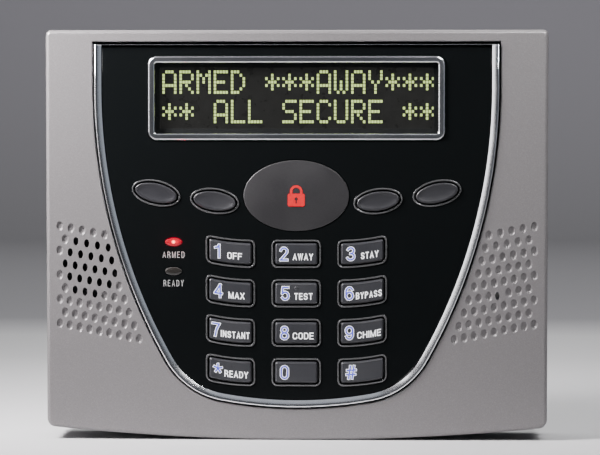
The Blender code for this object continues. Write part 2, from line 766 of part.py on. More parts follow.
def light_lens(name, x, z):
    sections = [
        (lens_outline(0.0, x, z), MAT_BACK + LED_HEIGHT + FIT_GAP),
        (lens_outline(0.0, x, z), KEY_FLANGE_BACK),
        (lens_outline(LENS_FLANGE_LAP, x, z), KEY_FLANGE_BACK),
        (lens_outline(LENS_FLANGE_LAP, x, z), KEY_FLANGE_FRONT),
        (lens_outline(0.0, x, z), KEY_FLANGE_FRONT),
        (lens_outline(0.0, x, z), FACE_FRONT),
        (lens_outline(-2 * LENS_PROUD, x, z), FACE_FRONT + LENS_PROUD),
    ]
    return stepped(name, sections)


def status_lights():
    for name, x, z in light_places():
        lens = light_lens(f"{name}_lens", x, z)
        paint(lens, (0.7, 0.02, 0.02) if name == "armed" else (0.06, 0.06, 0.06), 0.25)
        top = MAT_BACK + LED_HEIGHT
        shoulder = top - LED_RADIUS
        dome = arc((0.0, shoulder), LED_RADIUS, pi / 2, 0.0, 4)[1:]
        profile = [(0.0, top)] + dome + [(LED_RADIUS, MAT_BACK), (0.0, MAT_BACK)]
        led = turned(f"{name}_led", profile, x, z, 16)
        paint(led, (0.75, 0.7, 0.68), 0.3)


# Display module


def lcd_outline(shrink):
    """The display module's outline, which passes the faceplate's display aperture."""
    return display_outline(FIT_GAP + shrink)


def display_module():
    floor = BOARD_DEPTH + FIT_GAP
    lip_back = LCD_FRAME_FRONT - LCD_LIP
    sections = [
        (lcd_outline(0.0), floor),
        (lcd_outline(0.0), LCD_FRAME_FRONT),
        (lcd_outline(ACTIVE_MARGIN), LCD_FRAME_FRONT),
        (lcd_outline(ACTIVE_MARGIN), lip_back),
        (lcd_outline(LCD_WALL), lip_back),
        (lcd_outline(LCD_WALL), floor),
    ]
    frame = ring("lcd_frame", sections)
    paint(frame, (0.02, 0.02, 0.022), 0.5)
    inside = LCD_WALL + FIT_GAP
    glass_front = lip_back - FIT_GAP
    glass_back = glass_front - LCD_GLASS_THICKNESS
    glass = slab("lcd_glass", lcd_outline(inside), glass_back, glass_front)
    paint(glass, (0.02, 0.025, 0.02), 0.1)
    light_front = glass_back - FIT_GAP
    light_back = light_front - BACKLIGHT_THICKNESS
    light = slab("lcd_backlight", lcd_outline(inside), light_back, light_front)
    paint(light, (0.5, 0.6, 0.2), 0.5)


# Keys and mat


def number_keys():
    crown = FACE_FRONT + KEY_PROUD
    for name, column, x, z in key_places():
        cap = moved(key_outline(column, 0.0), x, z)
        face = moved(key_outline(column, -KEY_CHAMFER), x, z)
        flange = moved(key_outline(column, KEY_GAP + KEY_FLANGE_LAP), x, z)
        key = stepped(
            name,
            [
                (flange, KEY_FLANGE_BACK),
                (flange, KEY_FLANGE_FRONT),
                (cap, KEY_FLANGE_FRONT),
                (cap, crown - KEY_CHAMFER),
                (face, crown),
            ],
        )
        add_plunger(key, x, z + key_lift(0.0, column))
        paint(key, (0.055, 0.055, 0.062), 0.45)


def function_keys():
    crown = FACE_FRONT + KEY_PROUD
    lap = KEY_GAP + KEY_FLANGE_LAP
    for name, x, z, tilt in function_key_places():
        key = stepped(
            name,
            [
                (function_key_outline(lap, x, z, tilt), KEY_FLANGE_BACK),
                (function_key_outline(lap, x, z, tilt), KEY_FLANGE_FRONT),
                (function_key_outline(0.0, x, z, tilt), KEY_FLANGE_FRONT),
                (function_key_outline(0.0, x, z, tilt), crown - KEY_CHAMFER),
                (function_key_outline(-KEY_CHAMFER, x, z, tilt), crown),
            ],
        )
        add_plunger(key, x, z)
        paint(key, (0.06, 0.06, 0.066), 0.4)


def add_plunger(key, x, z):
    """The post on the back of a key that presses its dome, and the key's origin on its axis."""
    front = KEY_FLANGE_BACK + OVERLAP
    size = (PLUNGER_WIDTH, PLUNGER_HEIGHT)
    join(key, box(key.name + "_post", (x, z), size, PLUNGER_FOOT, front, cutters))
    place = Vector((x, -KEY_FLANGE_BACK, z))
    key.data.transform(Matrix.Translation(-place))
    key.location = place


def dome_places():
    for _, column, x, z in key_places():
        yield x, z + key_lift(0.0, column)
    for _, x, z, _ in function_key_places():
        yield x, z


def keypad_mat():
    """One silicone sheet on the board, wide behind the function keys and narrow below, with a dome
    under each key."""
    front = MAT_BACK + MAT_THICKNESS
    wide = OUTER_FUNCTION_KEY[0] + MAT_MARGIN
    narrow = KEY_COLUMN_PITCH + KEY_WIDTH / 2
    top = drop(OUTER_FUNCTION_KEY[1]) + MAT_MARGIN
    step = drop(INNER_FUNCTION_KEY[1]) - MAT_MARGIN
    bottom = drop(FIRST_ROW_DROP + 3 * KEY_ROW_PITCH) - MAT_MARGIN
    half = [(wide, top), (wide, step), (narrow, step), (narrow, bottom)]
    sheet = mirrored(half)
    mat = stepped("keypad_mat", [(sheet, MAT_BACK), (sheet, front)])
    for i, (x, z) in enumerate(dome_places()):
        dome = [
            (0.0, DOME_TOP),
            (DOME_TOP_RADIUS, DOME_TOP),
            (DOME_BASE_RADIUS, front - OVERLAP),
            (0.0, front - OVERLAP),
        ]
        join(mat, turned(f"dome_{i}", dome, x, z, 12, cutters))
    paint(mat, (0.55, 0.56, 0.55), 0.6)
    return mat


# Circuit board and what is on it


def circuit_board():
    top = drop(BOARD_TOP)
    bottom = BOTTOM + BOARD_BOTTOM_MARGIN
    place = (0.0, (top + bottom) / 2)
    board = box("circuit_board", place, (BOARD_WIDTH, top - bottom), BOARD_BACK, BOARD_DEPTH)
    bore = disc(SCREW_SHANK_RADIUS + FIT_GAP, BOARD_BACK - BEYOND, BOARD_DEPTH + BEYOND)
    for i, (x, z) in enumerate(board_screw_places()):
        cut(board, turned(f"board_hole_{i}", bore, x, z, 12, cutters))
    paint(board, (0.02, 0.12, 0.05), 0.45)
    for i, (x, z) in enumerate(board_screw_places()):
        board_screw(f"board_screw_{i + 1}", x, z)
    place = (CHIP_PLACE[0], drop(CHIP_PLACE[1]))
    front = BOARD_BACK - FIT_GAP
    chip = box("controller_chip", place, (CHIP_SIDE, CHIP_SIDE), front - CHIP_THICKNESS, front)
    paint(chip, (0.015, 0.015, 0.016), 0.5)


def board_screw(name, x, z):
    seat = BOARD_BACK - FIT_GAP
    tip = BOARD_BACK + SCREW_LENGTH
    profile = [
        (0.0, tip),
        (SCREW_SHANK_RADIUS, tip),
        (SCREW_SHANK_RADIUS, seat),
        (SCREW_HEAD_RADIUS, seat),
        (SCREW_HEAD_RADIUS, seat - SCREW_HEAD_HEIGHT / 2),
        (SCREW_HEAD_RADIUS * 0.7, seat - SCREW_HEAD_HEIGHT),
        (0.0, seat - SCREW_HEAD_HEIGHT),
    ]
    screw = turned(name, profile, x, z, 12)
    driver_slot(screw, x, z, seat - SCREW_HEAD_HEIGHT, SCREW_HEAD_RADIUS)
    paint(screw, (0.6, 0.6, 0.58), 0.35, 1.0)


def driver_slot(screw, x, z, face, radius):
    """A slot for the driver in a screw head that faces the wall."""
    size = (radius * DRIVER_SLOT_SHARE, radius * DRIVER_SLOT_SHARE / 4)
    floor = face + radius * DRIVER_SLOT_SHARE / 3
    cut(screw, box(screw.name + "_slot", (x, z), size, face - BEYOND, floor, cutters))


def terminal_block():
    """A screw terminal for the wires that come through the back plate."""
    front = BOARD_BACK - FIT_GAP
    back = front - TERMINAL_DEPTH
    z = drop(TERMINAL_DROP)
    width = TERMINAL_COUNT * TERMINAL_PITCH
    block = box("terminal_block", (0.0, z), (width, TERMINAL_HEIGHT), back, front)
    well = TERMINAL_SCREW_RADIUS + FIT_GAP
    well_floor = back + TERMINAL_SCREW_LENGTH + FIT_GAP
    for i in range(TERMINAL_COUNT):
        x = (i - (TERMINAL_COUNT - 1) / 2) * TERMINAL_PITCH
        shaft = disc(well, back - BEYOND, well_floor)
        cut(block, turned(f"terminal_well_{i}", shaft, x, z, 12, cutters))
        entry_back = well_floor + WIRE_ENTRY_SIDE / 2
        place = (x, z - TERMINAL_HEIGHT / 2)
        size = (WIRE_ENTRY_SIDE, TERMINAL_HEIGHT)
        entry_front = entry_back + WIRE_ENTRY_SIDE
        cut(block, box(f"wire_entry_{i}", place, size, entry_back, entry_front, cutters))
        terminal_screw(f"terminal_screw_{i + 1}", x, z, back)
    paint(block, (0.03, 0.16, 0.08), 0.5)


def terminal_screw(name, x, z, face):
    end = face + TERMINAL_SCREW_LENGTH
    screw = turned(name, disc(TERMINAL_SCREW_RADIUS, face, end), x, z, 12)
    driver_slot(screw, x, z, face, TERMINAL_SCREW_RADIUS)
    paint(screw, (0.62, 0.6, 0.55), 0.35, 1.0)


# Sound


def loudspeaker():
    z = drop(SPEAKER_DROP)
    front = SPEAKER_FRONT
    back = front - SPEAKER_DEPTH
    wall = SPEAKER_WALL
    frame = turned(
        "speaker_frame",
        [
            (SPEAKER_RADIUS, front),
            (SPEAKER_RADIUS, front - wall),
            (SPEAKER_OPENING + SPEAKER_SHOULDER, front - wall),
            (MAGNET_RADIUS + wall, back),
            (MAGNET_RADIUS - 3 * wall, back),
            (MAGNET_RADIUS - 3 * wall, back + wall),
            (MAGNET_RADIUS, back + wall),
            (SPEAKER_OPENING, front - wall),
            (SPEAKER_OPENING, front),
        ],
        SPEAKER_X,
        z,
    )
    paint(frame, (0.1, 0.1, 0.1), 0.5, 0.6)
    radius = SPEAKER_OPENING - FIT_GAP
    rim = front - wall
    cone = turned(
        "speaker_cone",
        [
            (0.0, rim - CONE_DEPTH + wall),
            (radius / 3, rim - CONE_DEPTH + 0.5 * wall),
            (radius - wall, front),
            (radius, front),
            (radius, rim),
            (radius / 3, rim - CONE_DEPTH - wall / 2),
            (0.0, rim - CONE_DEPTH),
        ],
        SPEAKER_X,
        z,
    )
    paint(cone, (0.03, 0.03, 0.032), 0.65)
    magnet_front = back - FIT_GAP
    magnet_back = magnet_front - MAGNET_THICKNESS
    magnet = turned("speaker_magnet", disc(MAGNET_RADIUS, magnet_back, magnet_front), SPEAKER_X, z)
    paint(magnet, (0.3, 0.3, 0.31), 0.4, 1.0)
    gasket_back = SPEAKER_FRONT + FIT_GAP
    gasket = turned(
        "speaker_gasket",
        [
            (GASKET_RADIUS, INNER_FACE - FIT_GAP),
            (GASKET_RADIUS, gasket_back),
            (SPEAKER_OPENING, gasket_back),
            (SPEAKER_OPENING, INNER_FACE - FIT_GAP),
        ],
        SPEAKER_X,
        z,
    )
    paint(gasket, (0.04, 0.04, 0.04), 0.9)


def speaker_wiring():
    """A plug near the board's edge, and the two leads from it to the back of the loudspeaker."""
    width, depth, height = PLUG_SIZE
    left = -BOARD_WIDTH / 2 + PLUG_INSET
    z = drop(SPEAKER_DROP)
    back = BOARD_DEPTH + FIT_GAP
    plug = box("speaker_plug", (left + width / 2, z), (width, height), back, back + depth)
    paint(plug, (0.8, 0.78, 0.7), 0.5)
    start = SPEAKER_X + SPEAKER_OPENING
    middle_depth = back + depth / 2
    for name, side, color in (("red", 1, (0.5, 0.02, 0.02)), ("black", -1, (0.02, 0.02, 0.02))):
        lead_z = z + side * LEAD_SPACING / 2
        route = [
            (start, -SPEAKER_FRONT + SPEAKER_DEPTH - LEAD_RADIUS, lead_z),
            ((start + left) / 2, -middle_depth - LEAD_RADIUS, lead_z),
            (left - FIT_GAP, -middle_depth, lead_z),
        ]
        paint(wire(f"speaker_lead_{name}", route, LEAD_RADIUS), color, 0.5)


def wire(name, route, radius):
    curve = bpy.data.curves.new(name, "CURVE")
    curve.dimensions = "3D"
    curve.bevel_depth = radius
    curve.bevel_resolution = 2
    curve.use_fill_caps = True
    spline = curve.splines.new("POLY")
    spline.points.add(len(route) - 1)
    for point, place in zip(spline.points, route):
        point.co = (*place, 1.0)
    return place_in(parts, name, curve)


def microphone():
    z = drop(MICROPHONE_DROP)
    boot_front = INNER_FACE - FIT_GAP
    face = BOOT_FACE
    capsule_front = boot_front - face - FIT_GAP
    capsule_back = capsule_front - CAPSULE_LENGTH
    inner = CAPSULE_RADIUS + FIT_GAP
    outer = inner + BOOT_WALL
    boot = turned(
        "microphone_boot",
        [
            (outer, boot_front),
            (outer, capsule_back),
            (inner, capsule_back),
            (inner, boot_front - face),
            (MICROPHONE_HOLE_RADIUS, boot_front - face),
            (MICROPHONE_HOLE_RADIUS, boot_front),
        ],
        MICROPHONE_X,
        z,
        16,
    )
    paint(boot, (0.03, 0.03, 0.03), 0.8)
    profile = disc(CAPSULE_RADIUS, capsule_back, capsule_front)
    capsule = turned("microphone_capsule", profile, MICROPHONE_X, z, 16)
    paint(capsule, (0.6, 0.6, 0.6), 0.3, 1.0)


clear_scene()
parts = new_collection("alarm_keypad_panel")
cutters = new_collection("cutters")
front_housing()
back_plate()
faceplate()
chrome_trim()
display_bezel()
display_window()
display_module()
centre_badge()
status_lights()
number_keys()
function_keys()
keypad_mat()
circuit_board()
terminal_block()
loudspeaker()
speaker_wiring()
microphone()
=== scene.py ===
"""Looks of the alarm keypad panel: fine shells, legends, display characters, finishes, light and camera.

Metres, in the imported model's frame: the wall is Y = 0 and the front faces -Y. A depth is a distance
in front of the wall, and a drop is a distance below the housing's top edge.
"""

from math import atan2, cos, hypot, pi, radians, sin, sqrt

import bmesh
import bpy
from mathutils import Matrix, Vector


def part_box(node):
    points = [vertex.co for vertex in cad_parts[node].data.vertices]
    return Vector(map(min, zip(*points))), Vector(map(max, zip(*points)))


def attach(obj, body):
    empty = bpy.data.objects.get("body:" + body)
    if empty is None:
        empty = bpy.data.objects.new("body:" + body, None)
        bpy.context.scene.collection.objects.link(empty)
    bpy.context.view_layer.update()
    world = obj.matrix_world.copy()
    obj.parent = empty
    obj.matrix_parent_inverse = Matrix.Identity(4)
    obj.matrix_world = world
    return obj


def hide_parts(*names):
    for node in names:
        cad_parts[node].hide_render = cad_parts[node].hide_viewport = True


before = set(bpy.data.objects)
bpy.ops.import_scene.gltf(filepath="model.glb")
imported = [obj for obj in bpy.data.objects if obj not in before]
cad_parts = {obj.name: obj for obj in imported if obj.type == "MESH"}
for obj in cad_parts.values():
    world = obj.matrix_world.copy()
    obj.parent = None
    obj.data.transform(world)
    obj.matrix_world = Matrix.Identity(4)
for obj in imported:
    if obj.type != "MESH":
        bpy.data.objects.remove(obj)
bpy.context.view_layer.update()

MM = 0.001

# Housing
HALF_WIDTH = 94.0 * MM
TOP = 76.9 * MM
BOTTOM = -76.9 * MM
HOUSING_DEPTH = 28.0 * MM
WALL = 2.4 * MM
UPPER_CORNER = 2.1 * MM
LOWER_CORNER = 3.3 * MM
FRONT_ROUND = 1.5 * MM
BACK_ROUND = 0.5 * MM
BOTTOM_ARC_RADIUS = 900.0 * MM
OPENING_ROUND = 0.45 * MM
INNER_FACE = HOUSING_DEPTH - WALL
SMALLEST_CORNER = 0.5 * MM

# Grille: the dots of each row, and the open ones, counted inward from the row's outer end
GRILLE_DOTS = (5, 5, 6, 6, 7, 7, 8, 8, 9)
GRILLE_OPEN = ((), (1, 2, 3, 4), (1, 2, 3, 4, 5), (0, 1, 2, 3, 4, 5), (1, 2, 3, 4, 5), (1, 2, 3))
GRILLE_DROP = 73.3 * MM
GRILLE_ROW_PITCH = 4.58 * MM
GRILLE_TOP_PITCH = 4.22 * MM
GRILLE_PITCH_STEP = 0.16 * MM
GRILLE_COLUMN_PITCH = 3.72 * MM
GRILLE_INSET = (5.1 * MM, 7.1 * MM)
GRILLE_SLOPE = 0.195
HOLE_SIZE = (1.94 * MM, 3.15 * MM)
DIMPLE_SIZE = (2.6 * MM, 3.75 * MM)
DIMPLE_DEPTH = 0.75 * MM
# A dimple's share of its size and of its depth, from its floor to its lip
DIMPLE_PROFILE = ((0.3, 1.0), (0.62, 0.97), (0.74, 0.84), (0.83, 0.55), (0.9, 0.24), (0.96, 0.05), (1.0, 0.0))
MICROPHONE_DOT = (5, 3)
MICROPHONE_PLACE = (75.2 * MM, TOP - 99.3 * MM)
MICROPHONE_HOLE = (1.6 * MM, 3.15 * MM)

# Faceplate
SIDE_BORDER = 21.2 * MM
FACE_TOP = TOP - 6.2 * MM
BOTTOM_BORDER = 15.3 * MM
SIDE_STRAIGHT = 15.8 * MM
SIDE_ARC_RADIUS = (TOP - BOTTOM) ** 2 / (2 * 57.7 * MM)
CORNER_ARC_RADIUS = 27.0 * MM
LOWER_ARC_RADIUS = 155.0 * MM
FACE_FRONT = 27.6 * MM
FLANGE_BACK = 24.1 * MM
FLANGE_FRONT = 25.3 * MM
FLANGE_REACH = 4.4 * MM
FLANGE_TOP = 2.7 * MM
FIT_GAP = 0.3 * MM
BEAD_RISE = 0.42 * MM
BEAD_OUTER = 1.5 * MM
KEY_GAP = 0.6 * MM
BOSS_SIZE = (6.0 * MM, 6.0 * MM)
BOSSES = ((60.6 * MM, TOP - 25.4 * MM), (43.5 * MM, TOP - 113.0 * MM))

# Chrome trim
TRIM_WIDTH = 2.9 * MM
TRIM_TOP_WIDTH = 0.85 * MM
TRIM_GAP = 0.7 * MM
TRIM_TOP_GAP = 1.05 * MM
TRIM_CREST = HOUSING_DEPTH + 0.8 * MM
TRIM_CREST_WIDTH = 0.6 * MM
TRIM_FALL = 1.0 * MM

# Display
BEZEL_WIDTH = 111.2 * MM
BEZEL_HEIGHT = 31.5 * MM
BEZEL_BAND = 2.6 * MM
BEZEL_CORNER = 3.4 * MM
BEZEL_CREST = FACE_FRONT + 0.9 * MM
BEZEL_ROUND = 0.8 * MM
DISPLAY_MIDDLE = (0.0, TOP - 25.4 * MM)
WINDOW_FRONT = 26.6 * MM
WINDOW_BACK = 25.1 * MM
LCD_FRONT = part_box("lcd_glass")[0][1]
ROW_TOPS = (14.9 * MM, 25.95 * MM)
CHARACTER_PITCH = 6.45 * MM
CHARACTER_LEFT = -50.6 * MM
DOT_PITCH = (1.1 * MM, 1.28 * MM)
DOT_SIZE = (0.87 * MM, 1.02 * MM)
PRINT = 0.03 * MM

# Badge
BADGE_SIZE = (39.5 * MM, 26.5 * MM)
BADGE_MIDDLE = (0.0, TOP - 61.9 * MM)
BADGE_POCKET = 1.7 * MM
BADGE_CROWN = 0.6 * MM

# Keys
KEY_SIZE = (15.9 * MM, 7.9 * MM)
KEY_CORNER = 0.9 * MM
KEY_COLUMN_PITCH = 24.7 * MM
KEY_ROW_PITCH = 14.83 * MM
FIRST_ROW = TOP - 83.7 * MM
KEY_CURVE_RADIUS = 72.0 * MM
KEY_CROWN = FACE_FRONT + 1.0 * MM
KEY_BEVEL = 0.62 * MM
KEY_BEVEL_FALL = 0.5 * MM
KEY_FLANGE_LAP = 0.7 * MM
KEY_FLANGE_FRONT = 23.8 * MM
KEY_FLANGE_BACK = 22.8 * MM
PLUNGER_FOOT = 20.1 * MM
PLUNGER_SIZE = (7.0 * MM, 3.6 * MM)
FUNCTION_KEY_SIZE = (15.9 * MM, 7.0 * MM)
FUNCTION_KEY_RIM = 0.75 * MM
FUNCTION_KEY_DISH = 0.3 * MM
# Middle and tilt of a function key on the right
INNER_FUNCTION_KEY = (30.6 * MM, TOP - 63.9 * MM, radians(8.0))
OUTER_FUNCTION_KEY = (52.6 * MM, TOP - 60.9 * MM, radians(12.6))
TACTILE_DOT_WIDTH = 1.5 * MM
TACTILE_DOT_RISE = 0.19 * MM
TACTILE_DOT_PLACE = (0.1 * MM, 2.0 * MM)

# Status lights
LENS_SIZE = (6.2 * MM, 3.0 * MM)
LENS_PROUD = 0.3 * MM
LENS_FLANGE_LAP = 0.6 * MM
LIGHT_X = -46.1 * MM
ARMED_Z = TOP - 79.3 * MM
READY_Z = TOP - 90.3 * MM

# A key's digit, its width and middle, then its word, the word's width and middle, all from the key's centre
DIGIT_HEIGHT = 5.5 * MM
DIGIT_STROKE = 1.0 * MM
DIGIT_EDGE = 0.2 * MM
STAR_HEIGHT = 4.0 * MM
STAR_RISE = 0.4 * MM
WORD_HEIGHT = 2.5 * MM
WORD_STROKE = 0.36 * MM
LABEL_HEIGHT = 2.35 * MM
LABEL_STROKE = 0.22 * MM
LABEL_GAP = 0.84 * MM
WORD_GAP = 0.74 * MM
WORD_FALL = -1.1 * MM
LABELS = (("ARMED", 8.2 * MM, TOP - 84.1 * MM), ("READY", 7.6 * MM, TOP - 94.8 * MM))
LEGENDS = {
    "key_1": ("1", 2.4 * MM, -4.9 * MM, "OFF", 5.5 * MM, 1.6 * MM),
    "key_2": ("2", 3.4 * MM, -4.6 * MM, "AWAY", 7.6 * MM, 2.5 * MM),
    "key_3": ("3", 3.4 * MM, -4.2 * MM, "STAY", 6.5 * MM, 2.8 * MM),
    "key_4": ("4", 3.5 * MM, -4.5 * MM, "MAX", 6.0 * MM, 2.3 * MM),
    "key_5": ("5", 3.4 * MM, -4.1 * MM, "TEST", 6.9 * MM, 2.7 * MM),
    "key_6": ("6", 3.5 * MM, -4.8 * MM, "BYPASS", 9.6 * MM, 2.5 * MM),
    "key_7": ("7", 3.4 * MM, -5.4 * MM, "INSTANT", 10.8 * MM, 1.8 * MM),
    "key_8": ("8", 3.5 * MM, -4.4 * MM, "CODE", 7.8 * MM, 2.6 * MM),
    "key_9": ("9", 3.5 * MM, -4.8 * MM, "CHIME", 8.9 * MM, 2.6 * MM),
    "key_star": ("*", 3.8 * MM, -4.7 * MM, "READY", 8.9 * MM, 2.2 * MM),
    "key_0": ("0", 3.5 * MM, -4.4 * MM, "", 0.0, 0.0),
    "key_hash": ("#", 4.3 * MM, -4.1 * MM, "", 0.0, 0.0),
}

# The display's two lines, and its five by seven dot characters
LINES = ("ARMED ***AWAY***", "** ALL SECURE **")
GLYPHS = {
    "A": ".###. #...# #...# #...# ##### #...# #...#",
    "C": ".###. #...# #.... #.... #.... #...# .###.",
    "D": "###.. #..#. #...# #...# #...# #..#. ###..",
    "E": "##### #.... #.... ####. #.... #.... #####",
    "L": "#.... #.... #.... #.... #.... #.... #####",
    "M": "#...# ##.## #.#.# #.#.# #...# #...# #...#",
    "R": "####. #...# #...# ####. #.#.. #..#. #...#",
    "S": ".#### #.... #.... .###. ....# ....# ####.",
    "U": "#...# #...# #...# #...# #...# #...# .###.",
    "W": "#...# #...# #...# #.#.# #.#.# #.#.# .#.#.",
    "Y": "#...# #...# #...# .#.#. ..#.. ..#.. ..#..",
    "*": "..... ..#.. #.#.# .###. #.#.# ..#.. .....",
}


# Stage: how far the floor runs, and the height and the stretches of Y over which its painted light and shade
# change
FLOOR_AHEAD = 0.45
FLOOR_BEHIND = 1.5
FLOOR_HALF_WIDTH = 3.0
SWEEP = 0.3
WALL_TOP = 2.0
WALL_SHADE_HEIGHT = 250 * MM
AHEAD_SHADE_FADE = (-0.24, -0.09)
FAR_SHADE_FADE = (-0.05, 0.3)
WALL_SHADE_FADE = (0.43, 0.55)

# Camera
CAMERA_DISTANCE = 0.95
CAMERA_AZIMUTH = radians(2.0)
CAMERA_ELEVATION = radians(2.5)
CAMERA_AIM = (1.4 * MM, -HOUSING_DEPTH, 3.1 * MM)
FRAMED_WIDTH = 0.2246
SENSOR = 36.0


# Outlines, as lists of (x, z) points


def arc(center, radius, start, end, steps):
    turn = (end - start) / steps
    angles = [start + turn * i for i in range(steps + 1)]
    return [(center[0] + radius * cos(a), center[1] + radius * sin(a)) for a in angles]


def mirrored(half):
    """A closed outline from its right half, which runs from the top middle to the bottom middle."""
    return half + [(-x, z) for x, z in reversed(half) if abs(x) > 1e-7]


def moved(outline, middle):
    return [(x + middle[0], z + middle[1]) for x, z in outline]


def along(start, end, steps):
    """Points between two ends, without the ends."""
    shares = [i / steps for i in range(1, steps)]
    return [(start[0] + (end[0] - start[0]) * s, start[1] + (end[1] - start[1]) * s) for s in shares]


def rounded_rectangle(width, height, radius, corner_steps=6, side_steps=1):
    x = width / 2 - radius
    z = height / 2 - radius
    corners = [(x, z, 0.0), (-x, z, pi / 2), (-x, -z, pi), (x, -z, 3 * pi / 2)]
    runs = [arc((cx, cz), radius, start, start + pi / 2, corner_steps) for cx, cz, start in corners]
    outline = []
    for run, following in zip(runs, runs[1:] + runs[:1]):
        outline += run + along(run[-1], following[0], side_steps)
    return outline


def ellipse(size, steps, tilt=0.0, middle=(0.0, 0.0)):
    outline = []
    for i in range(steps):
        angle = 2 * pi * i / steps
        x = size[0] / 2 * cos(angle)
        z = size[1] / 2 * sin(angle)
        outline.append((x * cos(tilt) - z * sin(tilt), x * sin(tilt) + z * cos(tilt)))
    return moved(outline, middle)


def grown(size, grow):
    return size[0] + 2 * grow, size[1] + 2 * grow


def housing_outline(inset=0.0):
    """The housing's rounded outline, moved inward by inset."""
    half_width = HALF_WIDTH - inset
    upper = max(UPPER_CORNER - inset, SMALLEST_CORNER)
    lower = max(LOWER_CORNER - inset, SMALLEST_CORNER)
    arc_radius = BOTTOM_ARC_RADIUS - inset
    arc_center = (0.0, BOTTOM + BOTTOM_ARC_RADIUS)
    corner_x = half_width - lower
    corner_z = arc_center[1] - sqrt((arc_radius - lower) ** 2 - corner_x**2)
    touch = atan2(corner_z - arc_center[1], corner_x)
    half = arc((half_width - upper, TOP - inset - upper), upper, pi / 2, 0.0, 8)
    half += arc((corner_x, corner_z), lower, 0.0, touch, 8)
    half += arc(arc_center, arc_radius, touch, -pi / 2, 24)[1:]
    return mirrored(half)


def meeting_point(center_a, radius_a, center_b, radius_b):
    """Where two circles cross, on the right and below."""
    dx = center_b[0] - center_a[0]
    dz = center_b[1] - center_a[1]
    apart = hypot(dx, dz)
    reach = (radius_a**2 - radius_b**2 + apart**2) / (2 * apart)
    across = sqrt(radius_a**2 - reach**2)
    middle = (center_a[0] + reach * dx / apart, center_a[1] + reach * dz / apart)
    found = [
        (middle[0] + side * across * dz / apart, middle[1] - side * across * dx / apart)
        for side in (1, -1)
    ]
    return min(found, key=lambda point: point[1])


def shield_outline(grow, top):
    """The faceplate's outline, moved outward by grow, with its flat top at this height."""
    half_width = HALF_WIDTH - SIDE_BORDER
    side = (half_width - SIDE_ARC_RADIUS, FACE_TOP - SIDE_STRAIGHT)
    lower = (0.0, BOTTOM + BOTTOM_BORDER + LOWER_ARC_RADIUS)
    inner_side = SIDE_ARC_RADIUS - CORNER_ARC_RADIUS
    inner_lower = LOWER_ARC_RADIUS - CORNER_ARC_RADIUS
    corner = meeting_point(side, inner_side, lower, inner_lower)
    first = atan2(corner[1] - side[1], corner[0] - side[0])
    second = atan2(corner[1] - lower[1], corner[0] - lower[0])
    half = [(half_width + grow, top)]
    half += arc(side, SIDE_ARC_RADIUS + grow, 0.0, first, 36)
    half += arc(corner, CORNER_ARC_RADIUS + grow, first, second, 28)[1:]
    half += arc(lower, LOWER_ARC_RADIUS + grow, second, -pi / 2, 20)[1:]
    return mirrored(half)


def key_lift(x, column):
    """How far a key of an outer column rises at x, measured from the key's middle."""
    reach = max(x * column + KEY_SIZE[0] / 2, 0.0) if column else 0.0
    return reach * reach / (2 * KEY_CURVE_RADIUS)


def key_outline(grow, column, middle):
    corner = max(KEY_CORNER + grow, 0.3 * MM)
    flat = rounded_rectangle(*grown(KEY_SIZE, grow), corner, 6, 14)
    return moved([(x, z + key_lift(x, column)) for x, z in flat], middle)


def display_outline(shrink):
    corner = max(BEZEL_CORNER - shrink, SMALLEST_CORNER)
    return moved(rounded_rectangle(*grown((BEZEL_WIDTH, BEZEL_HEIGHT), -shrink), corner, 10), DISPLAY_MIDDLE)


def key_places():
    """Each number key's name, column and middle."""
    names = (("1", "2", "3"), ("4", "5", "6"), ("7", "8", "9"), ("star", "0", "hash"))
    for row, labels in enumerate(names):
        for column, label in zip((-1, 0, 1), labels):
            yield f"key_{label}", column, (column * KEY_COLUMN_PITCH, FIRST_ROW - row * KEY_ROW_PITCH)


def function_key_places():
    """Each function key's name, tilt and middle."""
    places = (OUTER_FUNCTION_KEY, INNER_FUNCTION_KEY, INNER_FUNCTION_KEY, OUTER_FUNCTION_KEY)
    for letter, side, (x, z, tilt) in zip("abcd", (-1, -1, 1, 1), places):
        yield f"function_key_{letter}", side * tilt, (side * x, z)


# Solids


def rings_of(bm, sections):
    return [[bm.verts.new((x, -depth, z)) for x, z in outline] for outline, depth in sections]


def stitch(bm, first, second):
    count = len(first)
    for i in range(count):
        bm.faces.new((first[i], first[(i + 1) % count], second[(i + 1) % count], second[i]))


def stack(bm, sections):
    """A closed solid through outlines at given depths, from back to front."""
    rings = rings_of(bm, sections)
    for first, second in zip(rings, rings[1:]):
        stitch(bm, first, second)
    bm.faces.new(rings[0])
    bm.faces.new(rings[-1])


def hoop(bm, sections):
    """A closed ring whose section runs through outlines at given depths."""
    rings = rings_of(bm, sections)
    for first, second in zip(rings, rings[1:] + rings[:1]):
        stitch(bm, first, second)


def block(bm, middle, size, back, front):
    x, z = middle
    corners = ((-1, -1), (1, -1), (1, 1), (-1, 1))
    outline = [(x + side * size[0] / 2, z + rise * size[1] / 2) for side, rise in corners]
    stack(bm, [(outline, back), (outline, front)])


def solid(name, build, *args):
    """An object from a function that fills a bmesh."""
    bm = bmesh.new()
    build(bm, *args)
    bmesh.ops.recalc_face_normals(bm, faces=bm.faces)
    mesh = bpy.data.meshes.new(name)
    bm.to_mesh(mesh)
    bm.free()
    made = bpy.data.objects.new(name, mesh)
    bpy.context.scene.collection.objects.link(made)
    return made


def combine(obj, other, operation):
    """Booleans other into obj and removes other."""
    modifier = obj.modifiers.new("combine", "BOOLEAN")
    modifier.object = other
    modifier.operation = operation
    modifier.solver = "EXACT"
    graph = bpy.context.evaluated_depsgraph_get()
    mesh = bpy.data.meshes.new_from_object(obj.evaluated_get(graph))
    obj.modifiers.clear()
    obj.data = mesh
    bpy.data.objects.remove(other, do_unlink=True)


